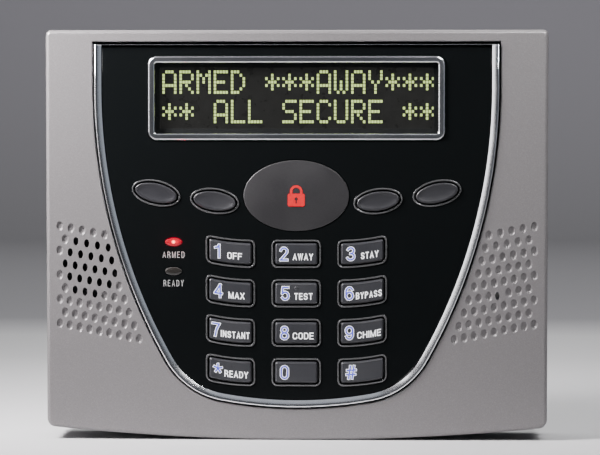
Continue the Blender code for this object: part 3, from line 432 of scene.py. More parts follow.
def piece(obj, material, body="panel", stands_for=(), angle=32.0):
    """Finishes a new piece: its shading, its material, the body it moves with and the nodes it stands for."""
    obj.data.shade_smooth()
    obj.data.set_sharp_from_angle(angle=radians(angle))
    normals = obj.modifiers.new("even_normals", "WEIGHTED_NORMAL")
    normals.keep_sharp = True
    obj.data.materials.clear()
    obj.data.materials.append(material)
    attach(obj, body)
    if stands_for:
        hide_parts(*stands_for)
    return obj


def quarter(radius, steps):
    """(inset, fall) pairs round a convex edge, from the wall to the face."""
    return [
        (radius * (1 - cos(pi / 2 * i / steps)), radius * (1 - sin(pi / 2 * i / steps)))
        for i in range(steps + 1)
    ]


# Materials


class Nodes:
    """A material's node tree, with the texture coordinate that all its patterns share."""

    def __init__(self, name):
        self.material = bpy.data.materials.new(name)
        self.material.use_nodes = True
        self.tree = self.material.node_tree
        self.shader = self.tree.nodes["Principled BSDF"]
        self.output = self.tree.nodes["Material Output"]
        self.place = self.add("ShaderNodeTexCoord").outputs["Object"]

    def add(self, kind, inputs=None, **settings):
        node = self.tree.nodes.new(kind)
        for key, value in settings.items():
            setattr(node, key, value)
        for key, value in (inputs or {}).items():
            if isinstance(value, bpy.types.NodeSocket):
                self.tree.links.new(value, node.inputs[key])
            else:
                node.inputs[key].default_value = value
        return node

    def set(self, values):
        for name, value in values.items():
            self.shader.inputs[name].default_value = value

    def link(self, source, name):
        self.tree.links.new(source, self.shader.inputs[name])

    def stretched(self, scale):
        return self.add("ShaderNodeMapping", {"Vector": self.place, "Scale": scale}).outputs["Vector"]

    def noise(self, scale, detail=3.0, roughness=0.55, place=None):
        inputs = {"Vector": place or self.place, "Scale": scale, "Detail": detail, "Roughness": roughness}
        return self.add("ShaderNodeTexNoise", inputs).outputs["Fac"]

    def mapped(self, value, low, high, from_low=0.3, from_high=0.7):
        inputs = {"Value": value, "From Min": from_low, "From Max": from_high, "To Min": low, "To Max": high}
        return self.add("ShaderNodeMapRange", inputs).outputs["Result"]

    def times(self, first, second):
        return self.add("ShaderNodeMath", {0: first, 1: second}, operation="MULTIPLY").outputs[0]

    def mixed(self, factor, first, second):
        node = self.add("ShaderNodeMix", data_type="RGBA")
        for index, value in ((0, factor), (6, first), (7, second)):
            if isinstance(value, bpy.types.NodeSocket):
                self.tree.links.new(value, node.inputs[index])
            else:
                node.inputs[index].default_value = value if index == 0 else (*value, 1.0)
        return node.outputs[2]

    def edges(self, radius):
        """A mask that is bright along edges, from the rounded normal's turn away from the true one."""
        rounded = self.add("ShaderNodeBevel", {"Radius": radius}, samples=4).outputs["Normal"]
        true = self.add("ShaderNodeNewGeometry").outputs["Normal"]
        dot = self.add("ShaderNodeVectorMath", {0: rounded, 1: true}, operation="DOT_PRODUCT")
        return self.mapped(dot.outputs["Value"], 1.0, 0.0, 0.86, 0.995)

    def bump(self, height, strength, distance):
        node = self.add("ShaderNodeBump", {"Height": height, "Strength": strength, "Distance": distance})
        self.link(node.outputs["Normal"], "Normal")


def finish(name, color, roughness, metallic=0.0, grain=1400.0, tint=0.12, spread=0.08,
           bump=0.15, depth=0.02, wear=None, wear_radius=0.25, stretch=None, coat=0.0):
    """A surface with grain in its colour, roughness and relief, and paler worn edges if wear is a colour."""
    nodes = Nodes(name)
    place = nodes.stretched(stretch) if stretch else nodes.place
    fine = nodes.noise(grain, 4.0, 0.6, place)
    broad = nodes.noise(60.0, 2.0)
    dark = [c * (1 - tint) for c in color]
    light = [min(c * (1 + tint), 1.0) for c in color]
    shade = nodes.mixed(nodes.mapped(fine, 0.0, 1.0), dark, light)
    if wear:
        mask = nodes.times(nodes.edges(wear_radius * MM), nodes.mapped(nodes.noise(500.0), 0.25, 1.0))
        shade = nodes.mixed(mask, shade, wear)
    nodes.link(shade, "Base Color")
    nodes.link(nodes.mapped(broad, roughness - spread, roughness + spread, 0.25, 0.75), "Roughness")
    nodes.set({"Metallic": metallic, "IOR": 1.5, "Coat Weight": coat, "Coat Roughness": 0.08})
    nodes.bump(fine, bump, depth * MM)
    return nodes.material


def metallic_paint():
    """Satin grey paint with fine bright and dark flakes."""
    nodes = Nodes("metallic_paint")
    flakes = nodes.add("ShaderNodeTexVoronoi", {"Vector": nodes.place, "Scale": 3600.0}).outputs["Color"]
    flake = nodes.add("ShaderNodeSeparateColor", {"Color": flakes}).outputs["Red"]
    grain = nodes.noise(2600.0, 3.0, 0.6)
    blend = nodes.mapped(grain, 0.0, 1.0, 0.32, 0.68)
    base = nodes.mixed(blend, (0.148, 0.1395, 0.1420), (0.182, 0.172, 0.1750))
    base = nodes.mixed(nodes.mapped(flake, 0.0, 0.5, 0.72, 1.0), base, (0.22, 0.208, 0.211))
    worn = nodes.times(nodes.edges(0.3 * MM), nodes.mapped(nodes.noise(300.0), 0.05, 0.22))
    nodes.link(nodes.mixed(worn, base, (0.36, 0.345, 0.348)), "Base Color")
    nodes.link(nodes.mapped(nodes.noise(1100.0), 0.33, 0.41, 0.25, 0.75), "Roughness")
    nodes.set({"Metallic": 0.42, "Coat Weight": 0.15, "Coat Roughness": 0.3})
    nodes.bump(grain, 0.22, 0.012 * MM)
    return nodes.material


def gloss_black_with_bead_sheen():
    """Polished black plastic with faint haze, and a painted grey metallic sheen on the crests of the beads
    that stand above its face.
    """
    nodes = Nodes("gloss_black_with_bead_sheen")
    haze = nodes.noise(45.0, 5.0, 0.6)
    dust = nodes.noise(2200.0, 2.0, 0.5)
    depth = nodes.add("ShaderNodeSeparateXYZ", {"Vector": nodes.place}).outputs["Y"]
    # Painted sheen: the tops of the beads are coloured grey and made metallic to stand in for their lit
    # crests
    above = nodes.mapped(depth, 1.0, 0.0, -(FACE_FRONT + 0.415 * MM), -(FACE_FRONT + 0.33 * MM))
    specks = nodes.mapped(dust, 0.0, 1.0, 0.62, 0.8)
    face = nodes.mixed(specks, (0.0026, 0.0031, 0.0033), (0.006, 0.0066, 0.007))
    nodes.link(nodes.mixed(above, face, (0.17, 0.17, 0.174)), "Base Color")
    nodes.link(nodes.mapped(haze, 0.10, 0.17, 0.3, 0.7), "Roughness")
    nodes.link(nodes.times(above, 0.8), "Metallic")
    nodes.set({"Specular IOR Level": 0.07})
    nodes.bump(nodes.noise(350.0, 3.0), 0.06, 0.01 * MM)
    return nodes.material


def chrome(name, stretch, roughness):
    """Bright plated metal with fine drawn streaks."""
    return finish(name, (0.80, 0.81, 0.835), roughness, 1.0, 900.0, 0.04, 0.03, 0.01, 0.01,
                  wear=(0.93, 0.94, 0.95), stretch=stretch)


def window_glass():
    """Smoked clear plastic that shows the display behind it and reflects a little."""
    nodes = Nodes("smoked_window")
    nodes.tree.nodes.remove(nodes.shader)
    tint = nodes.mixed(nodes.noise(150.0), (0.70, 0.71, 0.70), (0.76, 0.77, 0.76))
    clear = nodes.add("ShaderNodeBsdfTransparent", {"Color": tint}).outputs["BSDF"]
    rough = nodes.mapped(nodes.noise(40.0, 4.0), 0.06, 0.13)
    relief = {"Height": nodes.noise(260.0), "Strength": 0.05, "Distance": 0.01 * MM}
    ripple = nodes.add("ShaderNodeBump", relief)
    gloss = nodes.add("ShaderNodeBsdfGlossy", {"Roughness": rough, "Normal": ripple.outputs["Normal"]})
    facing = nodes.add("ShaderNodeLayerWeight", {"Blend": 0.2}).outputs["Facing"]
    edge = nodes.mapped(facing, 0.03, 0.5, 0.0, 1.0)
    mix = nodes.add("ShaderNodeMixShader", {0: edge, 1: clear, 2: gloss.outputs["BSDF"]})
    nodes.tree.links.new(mix.outputs["Shader"], nodes.output.inputs["Surface"])
    return nodes.material


def glowing(name, color, strength, body_color, roughness, uneven=0.15, scale=900.0):
    """A lit surface whose glow varies a little from place to place."""
    nodes = Nodes(name)
    pattern = nodes.noise(scale, 2.0)
    shade = nodes.mixed(nodes.mapped(pattern, 0.0, 1.0), [c * (1 - uneven) for c in color], color)
    nodes.link(shade, "Emission Color")
    nodes.set({"Emission Strength": strength})
    nodes.link(nodes.mixed(pattern, [c * 0.8 for c in body_color], body_color), "Base Color")
    nodes.link(nodes.mapped(pattern, roughness - 0.05, roughness + 0.05), "Roughness")
    nodes.bump(pattern, 0.1, 0.01 * MM)
    return nodes.material


def lit_lens():
    """A red lens with a hot middle where its light-emitting diode sits."""
    nodes = Nodes("lit_lens")
    from_middle = nodes.add(
        "ShaderNodeVectorMath", {0: nodes.place, 1: (LIGHT_X, -FACE_FRONT, ARMED_Z)}, operation="DISTANCE"
    ).outputs["Value"]
    heat = nodes.mapped(from_middle, 1.0, 0.0, 0.25 * MM, 0.85 * MM)
    glow = nodes.mixed(heat, (0.55, 0.0, 0.03), (1.0, 0.36, 0.16))
    nodes.link(glow, "Emission Color")
    nodes.link(nodes.mapped(heat, 0.30, 9.0, 0.0, 1.0), "Emission Strength")
    nodes.link(nodes.mixed(nodes.noise(800.0), (0.12, 0.001, 0.006), (0.18, 0.002, 0.008)), "Base Color")
    nodes.link(nodes.mapped(nodes.noise(300.0), 0.12, 0.25), "Roughness")
    nodes.bump(nodes.noise(600.0), 0.15, 0.02 * MM)
    return nodes.material


def board_lacquer():
    """Green solder mask with the faint lighter lines of the tracks under it."""
    nodes = Nodes("board_lacquer")
    tracks = nodes.add(
        "ShaderNodeTexBrick",
        {"Vector": nodes.place, "Scale": 160.0, "Mortar Size": 0.03,
         "Color1": (0.0, 0.0, 0.0, 1.0), "Color2": (0.15, 0.15, 0.15, 1.0), "Mortar": (1.0, 1.0, 1.0, 1.0)},
    ).outputs["Color"]
    base = nodes.mixed(nodes.noise(500.0), (0.008, 0.075, 0.035), (0.014, 0.115, 0.05))
    nodes.link(nodes.mixed(nodes.times(tracks, 0.35), base, (0.05, 0.26, 0.11)), "Base Color")
    nodes.link(nodes.mapped(nodes.noise(120.0), 0.28, 0.4), "Roughness")
    nodes.bump(tracks, 0.3, 0.03 * MM)
    return nodes.material


PAINT = metallic_paint()
BLACK_WITH_BEAD_SHEEN = gloss_black_with_bead_sheen()
TRIM_CHROME = chrome("trim_chrome", (1.0, 1.0, 0.06), 0.17)
BEZEL_CHROME = chrome("bezel_chrome", (0.05, 1.0, 1.0), 0.2)
KEY_GREY = finish("key_grey", (0.0145, 0.0149, 0.0178), 0.42, grain=1800.0, bump=0.35, depth=0.03,
                  wear=(0.17, 0.17, 0.18), wear_radius=0.2)
FUNCTION_GREY = finish("function_key_grey", (0.0135, 0.0135, 0.0158), 0.38, grain=1800.0, bump=0.3,
                       depth=0.03, wear=(0.2, 0.2, 0.21), wear_radius=0.2)
BADGE_GREY = finish("badge_grey", (0.0185, 0.0177, 0.0191), 0.4, 0.25, grain=2200.0, tint=0.2, bump=0.3,
                    depth=0.02, wear=(0.16, 0.16, 0.165), wear_radius=0.3, coat=0.15)
PICTOGRAM_RED = finish("pictogram_red", (0.42, 0.004, 0.008), 0.4, grain=1200.0)
# The white key print has a painted glow: it emits light, though it is ink and no lamp
GLOWING_WHITE_INK = glowing("white_ink_painted_glow", (0.86, 0.88, 0.92), 0.45, (0.88, 0.89, 0.90), 0.5, 0.08, 2600.0)
VIOLET_INK = finish("violet_ink", (0.060, 0.070, 0.48), 0.5, grain=2600.0, tint=0.15, bump=0.2, depth=0.01)
LABEL_INK = finish("label_ink", (0.24, 0.24, 0.24), 0.55, grain=2600.0, tint=0.15, bump=0.2, depth=0.01)
WINDOW = window_glass()
LCD_DOTS = glowing("lcd_dots", (0.62, 0.78, 0.26), 3.0, (0.2, 0.24, 0.1), 0.5)
LENS_LIT = lit_lens()
LENS_DARK = finish("lens_dark", (0.012, 0.011, 0.010), 0.18, grain=600.0,
                   wear=(0.12, 0.115, 0.11), wear_radius=0.3)
BLACK_PLASTIC = finish("black_plastic", (0.028, 0.028, 0.031), 0.55, grain=1100.0, bump=0.5, depth=0.05,
                       wear=(0.09, 0.09, 0.095), wear_radius=0.4)
LCD_GLASS = glowing("lcd_glass_dark", (1.0, 0.96, 0.94), 0.03, (0.02, 0.019, 0.019), 0.3, 0.3, 250.0)
BACKLIGHT = finish("backlight_sheet", (0.72, 0.74, 0.66), 0.5, grain=900.0, tint=0.05)
SILICONE = finish("grey_silicone", (0.24, 0.25, 0.27), 0.62, grain=900.0, tint=0.1, bump=0.3, depth=0.04)
BOARD = board_lacquer()
CHIP = finish("chip_epoxy", (0.014, 0.014, 0.015), 0.48, grain=2400.0, bump=0.5, depth=0.03,
              wear=(0.05, 0.05, 0.05))
TERMINAL = finish("terminal_green", (0.02, 0.20, 0.075), 0.42, grain=1200.0, wear=(0.10, 0.33, 0.18))
STEEL = finish("screw_steel", (0.52, 0.53, 0.54), 0.3, 1.0, grain=1800.0, stretch=(1.0, 1.0, 0.15),
               wear=(0.7, 0.7, 0.71))
SPEAKER_METAL = finish("speaker_metal", (0.10, 0.10, 0.105), 0.42, 0.8, grain=1500.0, wear=(0.4, 0.4, 0.4))
SPEAKER_PAPER = finish("speaker_paper", (0.016, 0.016, 0.017), 0.85, grain=1300.0, tint=0.35, bump=0.8,
                       depth=0.1)
FOAM = finish("black_foam", (0.02, 0.02, 0.021), 0.95, grain=900.0, tint=0.45, bump=1.0, depth=0.2)
CAPSULE = finish("capsule_metal", (0.55, 0.55, 0.53), 0.28, 1.0, grain=1500.0, wear=(0.8, 0.8, 0.78))
PLUG = finish("plug_cream", (0.68, 0.62, 0.48), 0.45, grain=1000.0, wear=(0.8, 0.76, 0.64))
LEAD_RED = finish("lead_red", (0.45, 0.015, 0.015), 0.42, grain=700.0)
LEAD_BLACK = finish("lead_black", (0.012, 0.012, 0.013), 0.42, grain=700.0)
LED_BODY = finish("led_body", (0.62, 0.55, 0.52), 0.22, grain=700.0, wear=(0.8, 0.76, 0.74))


# Housing, trim and faceplate


def grille_point(row, dot, side):
    """The middle of a grille dot; side is -1 at left and 1 at right."""
    pitch = max(GRILLE_TOP_PITCH - GRILLE_PITCH_STEP * row, GRILLE_COLUMN_PITCH)
    inset = GRILLE_INSET[row % 2] + pitch * dot
    fall = GRILLE_ROW_PITCH * row + GRILLE_SLOPE * (inset - GRILLE_INSET[0])
    return side * (HALF_WIDTH - inset), TOP - GRILLE_DROP - fall


def dimple(bm, middle):
    """A dish with rounded lips, to be cut from the front."""
    sections = []
    for share, fall_share in DIMPLE_PROFILE:
        size = (DIMPLE_SIZE[0] * share, DIMPLE_SIZE[1] * share)
        sections.append((ellipse(size, 28, 0.0, middle), HOUSING_DEPTH - DIMPLE_DEPTH * fall_share))
    rim = (DIMPLE_SIZE[0] * 1.06, DIMPLE_SIZE[1] * 1.06)
    sections.append((ellipse(rim, 28, 0.0, middle), HOUSING_DEPTH + 0.3 * MM))
    stack(bm, sections)


def open_hole(bm, middle, size):
    """A through hole, cut from the front: wider by lip just below the face, and narrow again at the face."""
    lip = 0.3 * MM

    def outline(grow):
        return ellipse(grown(size, grow), 20, 0.0, middle)

    sections = [(outline(0.0), INNER_FACE - 2 * MM)]
    for inset, fall in quarter(lip, 4):
        sections.append((outline(lip - inset), HOUSING_DEPTH - lip + (lip - fall)))
    sections.append((outline(lip + 0.1 * MM), HOUSING_DEPTH + 0.2 * MM))
    stack(bm, sections)


def grille_cutters(bm):
    for side in (-1, 1):
        for row, count in enumerate(GRILLE_DOTS):
            for dot in range(count):
                middle = grille_point(row, dot, side)
                if side == 1 and (row, dot) == MICROPHONE_DOT:
                    open_hole(bm, MICROPHONE_PLACE, MICROPHONE_HOLE)
                elif side == -1 and row < len(GRILLE_OPEN) and dot in GRILLE_OPEN[row]:
                    open_hole(bm, middle, HOLE_SIZE)
                else:
                    dimple(bm, middle)


def lip_sections(outline_at, round_radius, face, back):
    """Cutter sections for an opening whose front edge is rounded."""
    sections = [(outline_at(0.0), back)]
    sections += [(outline_at(inset), face - fall) for inset, fall in quarter(round_radius, 4)]
    sections.append((outline_at(round_radius + 0.05 * MM), face + 2 * MM))
    return sections


def housing_shell():
    sections = [(housing_outline(inset), fall) for inset, fall in reversed(quarter(BACK_ROUND, 3))]
    sections += [(housing_outline(inset), HOUSING_DEPTH - fall) for inset, fall in quarter(FRONT_ROUND, 7)]
    shell = solid("housing_shell", stack, sections)
    hollow = [(housing_outline(WALL), -4 * MM), (housing_outline(WALL), INNER_FACE)]
    combine(shell, solid("hollow", stack, hollow), "DIFFERENCE")

    def opening_at(grow):
        return shield_outline(TRIM_WIDTH + TRIM_GAP + grow, FACE_TOP + TRIM_TOP_WIDTH + TRIM_TOP_GAP + grow)

    opening = lip_sections(opening_at, OPENING_ROUND, HOUSING_DEPTH, INNER_FACE - 2 * MM)
    combine(shell, solid("opening", stack, opening), "DIFFERENCE")
    combine(shell, solid("grille", grille_cutters), "DIFFERENCE")
    piece(shell, PAINT, stands_for=["front_housing"])


def trim_ring():
    """The chrome trim: a rounded outer shoulder and a long slope down to the faceplate."""

    def outline(grow, top_grow):
        return shield_outline(grow, FACE_TOP + top_grow)

    back = 25.6 * MM
    top_share = TRIM_TOP_WIDTH / TRIM_WIDTH
    sections = [(outline(TRIM_WIDTH, TRIM_TOP_WIDTH), back)]
    for inset, fall in quarter(TRIM_CREST_WIDTH, 6):
        grow = TRIM_WIDTH - inset
        sections.append((outline(grow, TRIM_TOP_WIDTH - inset * top_share), TRIM_CREST - fall))
    slope_top = TRIM_TOP_WIDTH - TRIM_CREST_WIDTH * top_share
    for share in (0.35, 0.7, 1.0):
        grow = TRIM_WIDTH - TRIM_CREST_WIDTH - share * (TRIM_WIDTH - TRIM_CREST_WIDTH - FIT_GAP)
        top = slope_top - share * (slope_top - FIT_GAP)
        sections.append((outline(grow, top), TRIM_CREST - TRIM_FALL * (0.85 * share + 0.15 * share**2)))
    sections.append((outline(FIT_GAP, FIT_GAP), back))
    ring = solid("trim_ring", hoop, sections)
    piece(ring, TRIM_CHROME, stands_for=["chrome_trim"], angle=40.0)


def bead_sections(outline_at):
    """A pad with a rounded outer edge, from inside the plate to the bead's top."""
    width = 0.45 * MM
    sections = [(outline_at(BEAD_OUTER), FACE_FRONT - 0.5 * MM), (outline_at(BEAD_OUTER), FACE_FRONT)]
    for inset, fall in quarter(1.0, 5)[1:]:
        sections.append((outline_at(BEAD_OUTER - inset * width), FACE_FRONT + BEAD_RISE * (1 - fall)))
    return sections


def aperture_sections(outline_at, gap):
    """A cutter through the plate that also rounds the bead's inner edge."""
    width = 0.35 * MM
    sections = [(outline_at(gap), FLANGE_BACK - 6 * MM), (outline_at(gap), FACE_FRONT - 0.1 * MM)]
    for inset, fall in quarter(1.0, 5)[1:-1]:
        sections.append((outline_at(gap + inset * width), FACE_FRONT + BEAD_RISE * (1 - fall)))
    sections.append((outline_at(gap + 1.05 * width), FACE_FRONT + BEAD_RISE + 0.01 * MM))
    sections.append((outline_at(gap + 1.15 * width), FACE_FRONT + 3 * MM))
    return sections


def beaded_outlines():
    """The outline function of every aperture that has a bead round it."""
    for _, column, middle in key_places():
        yield lambda grow, c=column, m=middle: key_outline(grow, c, m)
    for _, tilt, middle in function_key_places():
        yield lambda grow, t=tilt, m=middle: ellipse(grown(FUNCTION_KEY_SIZE, grow), 64, t, m)


def face_sections(grow_at):
    """Sections of the faceplate with its slightly rounded front edge."""
    sections = [(grow_at(0.0), FLANGE_BACK + 0.4 * MM)]
    for inset, fall in quarter(0.3 * MM, 3):
        sections.append((grow_at(-inset), FACE_FRONT - fall))
    return sections


def board_bosses(bm):
    """The four bosses that the circuit board is screwed to, taken from the faceplate's lowest point."""
    back = -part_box("faceplate")[1][1]
    for x, z in BOSSES:
        for side in (-1, 1):
            outline = ellipse(BOSS_SIZE, 32, 0.0, (side * x, z))
            stack(bm, [(outline, back), (outline, FLANGE_BACK + 0.4 * MM)])


def face_shield():
    plate = solid("face_shield", stack, face_sections(lambda grow: shield_outline(grow, FACE_TOP + grow)))
    flange = shield_outline(FLANGE_REACH, FACE_TOP + FLANGE_TOP)
    combine(plate, solid("flange", stack, [(flange, FLANGE_BACK), (flange, FLANGE_FRONT)]), "UNION")
    combine(plate, solid("bosses", board_bosses), "UNION")

    def pads(bm):
        for outline_at in beaded_outlines():
            stack(bm, bead_sections(outline_at))

    def apertures(bm):
        for outline_at in beaded_outlines():
            stack(bm, aperture_sections(outline_at, KEY_GAP))
        for z in (ARMED_Z, READY_Z):
            hole = ellipse(grown(LENS_SIZE, FIT_GAP), 40, 0.0, (LIGHT_X, z))
            stack(bm, [(hole, FLANGE_BACK - 2 * MM), (hole, FACE_FRONT + 2 * MM)])
        display = display_outline(-FIT_GAP)
        stack(bm, [(display, FLANGE_BACK - 2 * MM), (display, FACE_FRONT + 2 * MM)])
        pocket = ellipse(grown(BADGE_SIZE, FIT_GAP), 96, 0.0, BADGE_MIDDLE)
        stack(bm, [(pocket, FACE_FRONT - BADGE_POCKET), (pocket, FACE_FRONT + 2 * MM)])

    combine(plate, solid("pads", pads), "UNION")
    combine(plate, solid("apertures", apertures), "DIFFERENCE")
    piece(plate, BLACK_WITH_BEAD_SHEEN, stands_for=["faceplate"], angle=38.0)


# Display


def bezel_frame():
    back = WINDOW_FRONT + FIT_GAP
    sections = [(display_outline(0.0), back)]
    for inset, fall in quarter(BEZEL_ROUND, 6):
        sections.append((display_outline(inset), BEZEL_CREST - fall))
    for inset, fall in reversed(quarter(BEZEL_ROUND, 6)):
        sections.append((display_outline(BEZEL_BAND - inset), BEZEL_CREST - fall))
    sections.append((display_outline(BEZEL_BAND), back))
    ring = solid("bezel_frame", hoop, sections)
    piece(ring, BEZEL_CHROME, stands_for=["display_bezel"], angle=40.0)


def window_pane():
    sections = [(display_outline(FIT_GAP), WINDOW_BACK)]
    for inset, fall in quarter(0.15 * MM, 2):
        sections.append((display_outline(FIT_GAP + inset), WINDOW_FRONT - fall))
    piece(solid("window_pane", stack, sections), WINDOW, stands_for=["display_window"])


def display_characters():
    """Every lit dot of the two lines, printed just in front of the display glass."""
    back = -LCD_FRONT + 0.01 * MM

    def dots(bm):
        for line, row_top in zip(LINES, ROW_TOPS):
            for place, letter in enumerate(line):
                rows = GLYPHS[letter].split() if letter in GLYPHS else []
                for row, pattern in enumerate(rows):
                    for column, mark in enumerate(pattern):
                        if mark == "#":
                            x = CHARACTER_LEFT + place * CHARACTER_PITCH + (column + 0.5) * DOT_PITCH[0]
                            z = TOP - row_top - (row + 0.5) * DOT_PITCH[1]
                            block(bm, (x, z), DOT_SIZE, back, back + PRINT)

    piece(solid("display_dots", dots), LCD_DOTS)


# Badge and lights


def badge_dome():
    floor = FACE_FRONT - BADGE_POCKET + FIT_GAP
    edge = FACE_FRONT + FIT_GAP
    sections = [(ellipse(BADGE_SIZE, 96, 0.0, BADGE_MIDDLE), floor)]
    for inset, fall in quarter(0.25 * MM, 4):
        sections.append((ellipse(grown(BADGE_SIZE, -inset), 96, 0.0, BADGE_MIDDLE), edge - fall))
    for i in range(1, 14):
        share = i / 14
        size = ((BADGE_SIZE[0] - 0.5 * MM) * (1 - share), (BADGE_SIZE[1] - 0.5 * MM) * (1 - share))
        sections.append((ellipse(size, 96, 0.0, BADGE_MIDDLE), badge_height(1 - share)))
    dome = solid("badge_dome", stack, sections)
    piece(dome, BADGE_GREY, stands_for=["centre_badge"], angle=40.0)


def badge_height(reach):
    """The badge's depth at a share of the way from its middle to its edge."""
    return FACE_FRONT + FIT_GAP + BADGE_CROWN * (1 - reach**2)


def on_badge(point):
    x = point[0] - BADGE_MIDDLE[0]
    z = point[1] - BADGE_MIDDLE[1]
    return badge_height(hypot(2 * x / BADGE_SIZE[0], 2 * z / BADGE_SIZE[1]))


def padlock():
    """A generic padlock pictogram in red relief on the badge."""
    crown = on_badge((0.0, BADGE_MIDDLE[1]))
    middle_z = BADGE_MIDDLE[1]

    def build(bm):
        body = moved(rounded_rectangle(6.4 * MM, 4.8 * MM, 0.7 * MM), (0.0, middle_z - 1.6 * MM))
        stack(bm, [(body, crown - 0.2 * MM), (body, crown + 0.07 * MM)])

    lock = solid("padlock", build)
    bow_outline = shackle_outline(2.35 * MM, 1.45 * MM, middle_z)
    shackle = solid("shackle", stack, [(bow_outline, crown - 0.19 * MM), (bow_outline, crown + 0.06 * MM)])
    combine(lock, shackle, "UNION")
    hole = moved(ellipse((1.2 * MM, 1.2 * MM), 20), (0.0, middle_z - 1.2 * MM))
    slit = moved(rounded_rectangle(0.5 * MM, 1.6 * MM, 0.2 * MM), (0.0, middle_z - 2.1 * MM))
    for cut in (hole, slit):
        combine(lock, solid("cut", stack, [(cut, crown - MM), (cut, crown + MM)]), "DIFFERENCE")
    piece(lock, PICTOGRAM_RED)


def shackle_outline(outer, inner, middle_z):
    """The padlock's bow with its two legs, which end inside the lock's body."""
    foot = middle_z - 1.0 * MM
    top = (0.0, middle_z + 1.6 * MM)
    outline = [(outer, foot)] + arc(top, outer, 0.0, pi, 20) + [(-outer, foot), (-inner, foot)]
    return outline + arc(top, inner, pi, 0.0, 20) + [(inner, foot)]


def lens(name, z, material):
    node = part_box(name)
    back = -node[1][1]

    def outline(grow):
        return ellipse(grown(LENS_SIZE, grow), 40, 0.0, (LIGHT_X, z))

    sections = [
        (outline(0.0), back),
        (outline(0.0), KEY_FLANGE_BACK),
        (outline(LENS_FLANGE_LAP), KEY_FLANGE_BACK),
        (outline(LENS_FLANGE_LAP), KEY_FLANGE_FRONT),
        (outline(0.0), KEY_FLANGE_FRONT),
        (outline(0.0), FACE_FRONT),
    ]
    for share in (0.25, 0.5, 0.75):
        sections.append((outline(-share * 1.3 * MM), FACE_FRONT + LENS_PROUD * (1 - (1 - share) ** 2)))
    piece(solid(name.replace("lens", "light"), stack, sections), material, stands_for=[name])


# Keys


def plunger(bm, middle):
    block(bm, middle, PLUNGER_SIZE, PLUNGER_FOOT, KEY_FLANGE_BACK + 0.4 * MM)


def cap_sections(outline_at):
    """The flange and the wall of a key, up to where its face begins."""
    return [
        (outline_at(KEY_FLANGE_LAP), KEY_FLANGE_BACK),
        (outline_at(KEY_FLANGE_LAP), KEY_FLANGE_FRONT),
        (outline_at(0.0), KEY_FLANGE_FRONT),
        (outline_at(0.0), KEY_CROWN - KEY_BEVEL_FALL - 0.12 * MM),
    ]


def number_key(name, column, middle):
    def outline_at(grow):
        return key_outline(grow, column, middle)

    sections = cap_sections(outline_at)
    sections.append((outline_at(-0.06 * MM), KEY_CROWN - KEY_BEVEL_FALL))
    sections.append((outline_at(-KEY_BEVEL + 0.1 * MM), KEY_CROWN - 0.06 * MM))
    sections.append((outline_at(-KEY_BEVEL - 0.08 * MM), KEY_CROWN))
    cap = solid(f"{name}_cap", stack, sections)
    lift = (middle[0], middle[1] + key_lift(0.0, column))
    combine(cap, solid("plunger", plunger, lift), "UNION")
    piece(cap, KEY_GREY, name, [name], 20.0)


def function_key(name, tilt, middle):
    def outline_at(grow):
        return ellipse(grown(FUNCTION_KEY_SIZE, grow), 64, tilt, middle)

    sections = cap_sections(outline_at)
    for inset, fall in quarter(0.35 * MM, 4)[1:]:
        sections.append((outline_at(-inset), KEY_CROWN - fall))
    sections.append((outline_at(-FUNCTION_KEY_RIM), KEY_CROWN))
    for share in (0.12, 0.3, 0.6, 0.85):
        inset = FUNCTION_KEY_RIM + share * (FUNCTION_KEY_SIZE[1] / 2 - FUNCTION_KEY_RIM)
        depth = KEY_CROWN - FUNCTION_KEY_DISH * (1 - (1 - share) ** 3)
        sections.append((outline_at(-inset), depth))
    cap = solid(f"{name}_cap", stack, sections)
    combine(cap, solid("plunger", plunger, middle), "UNION")
    piece(cap, FUNCTION_GREY, name, [name], 24.0)


# Legends


def bow(cx, cz, rx, rz, start, end):
    """Points of an elliptic arc, in degrees."""
    steps = 10
    angles = [radians(start + (end - start) * i / steps) for i in range(steps + 1)]
    return [(cx + rx * cos(a), cz + rz * sin(a)) for a in angles]


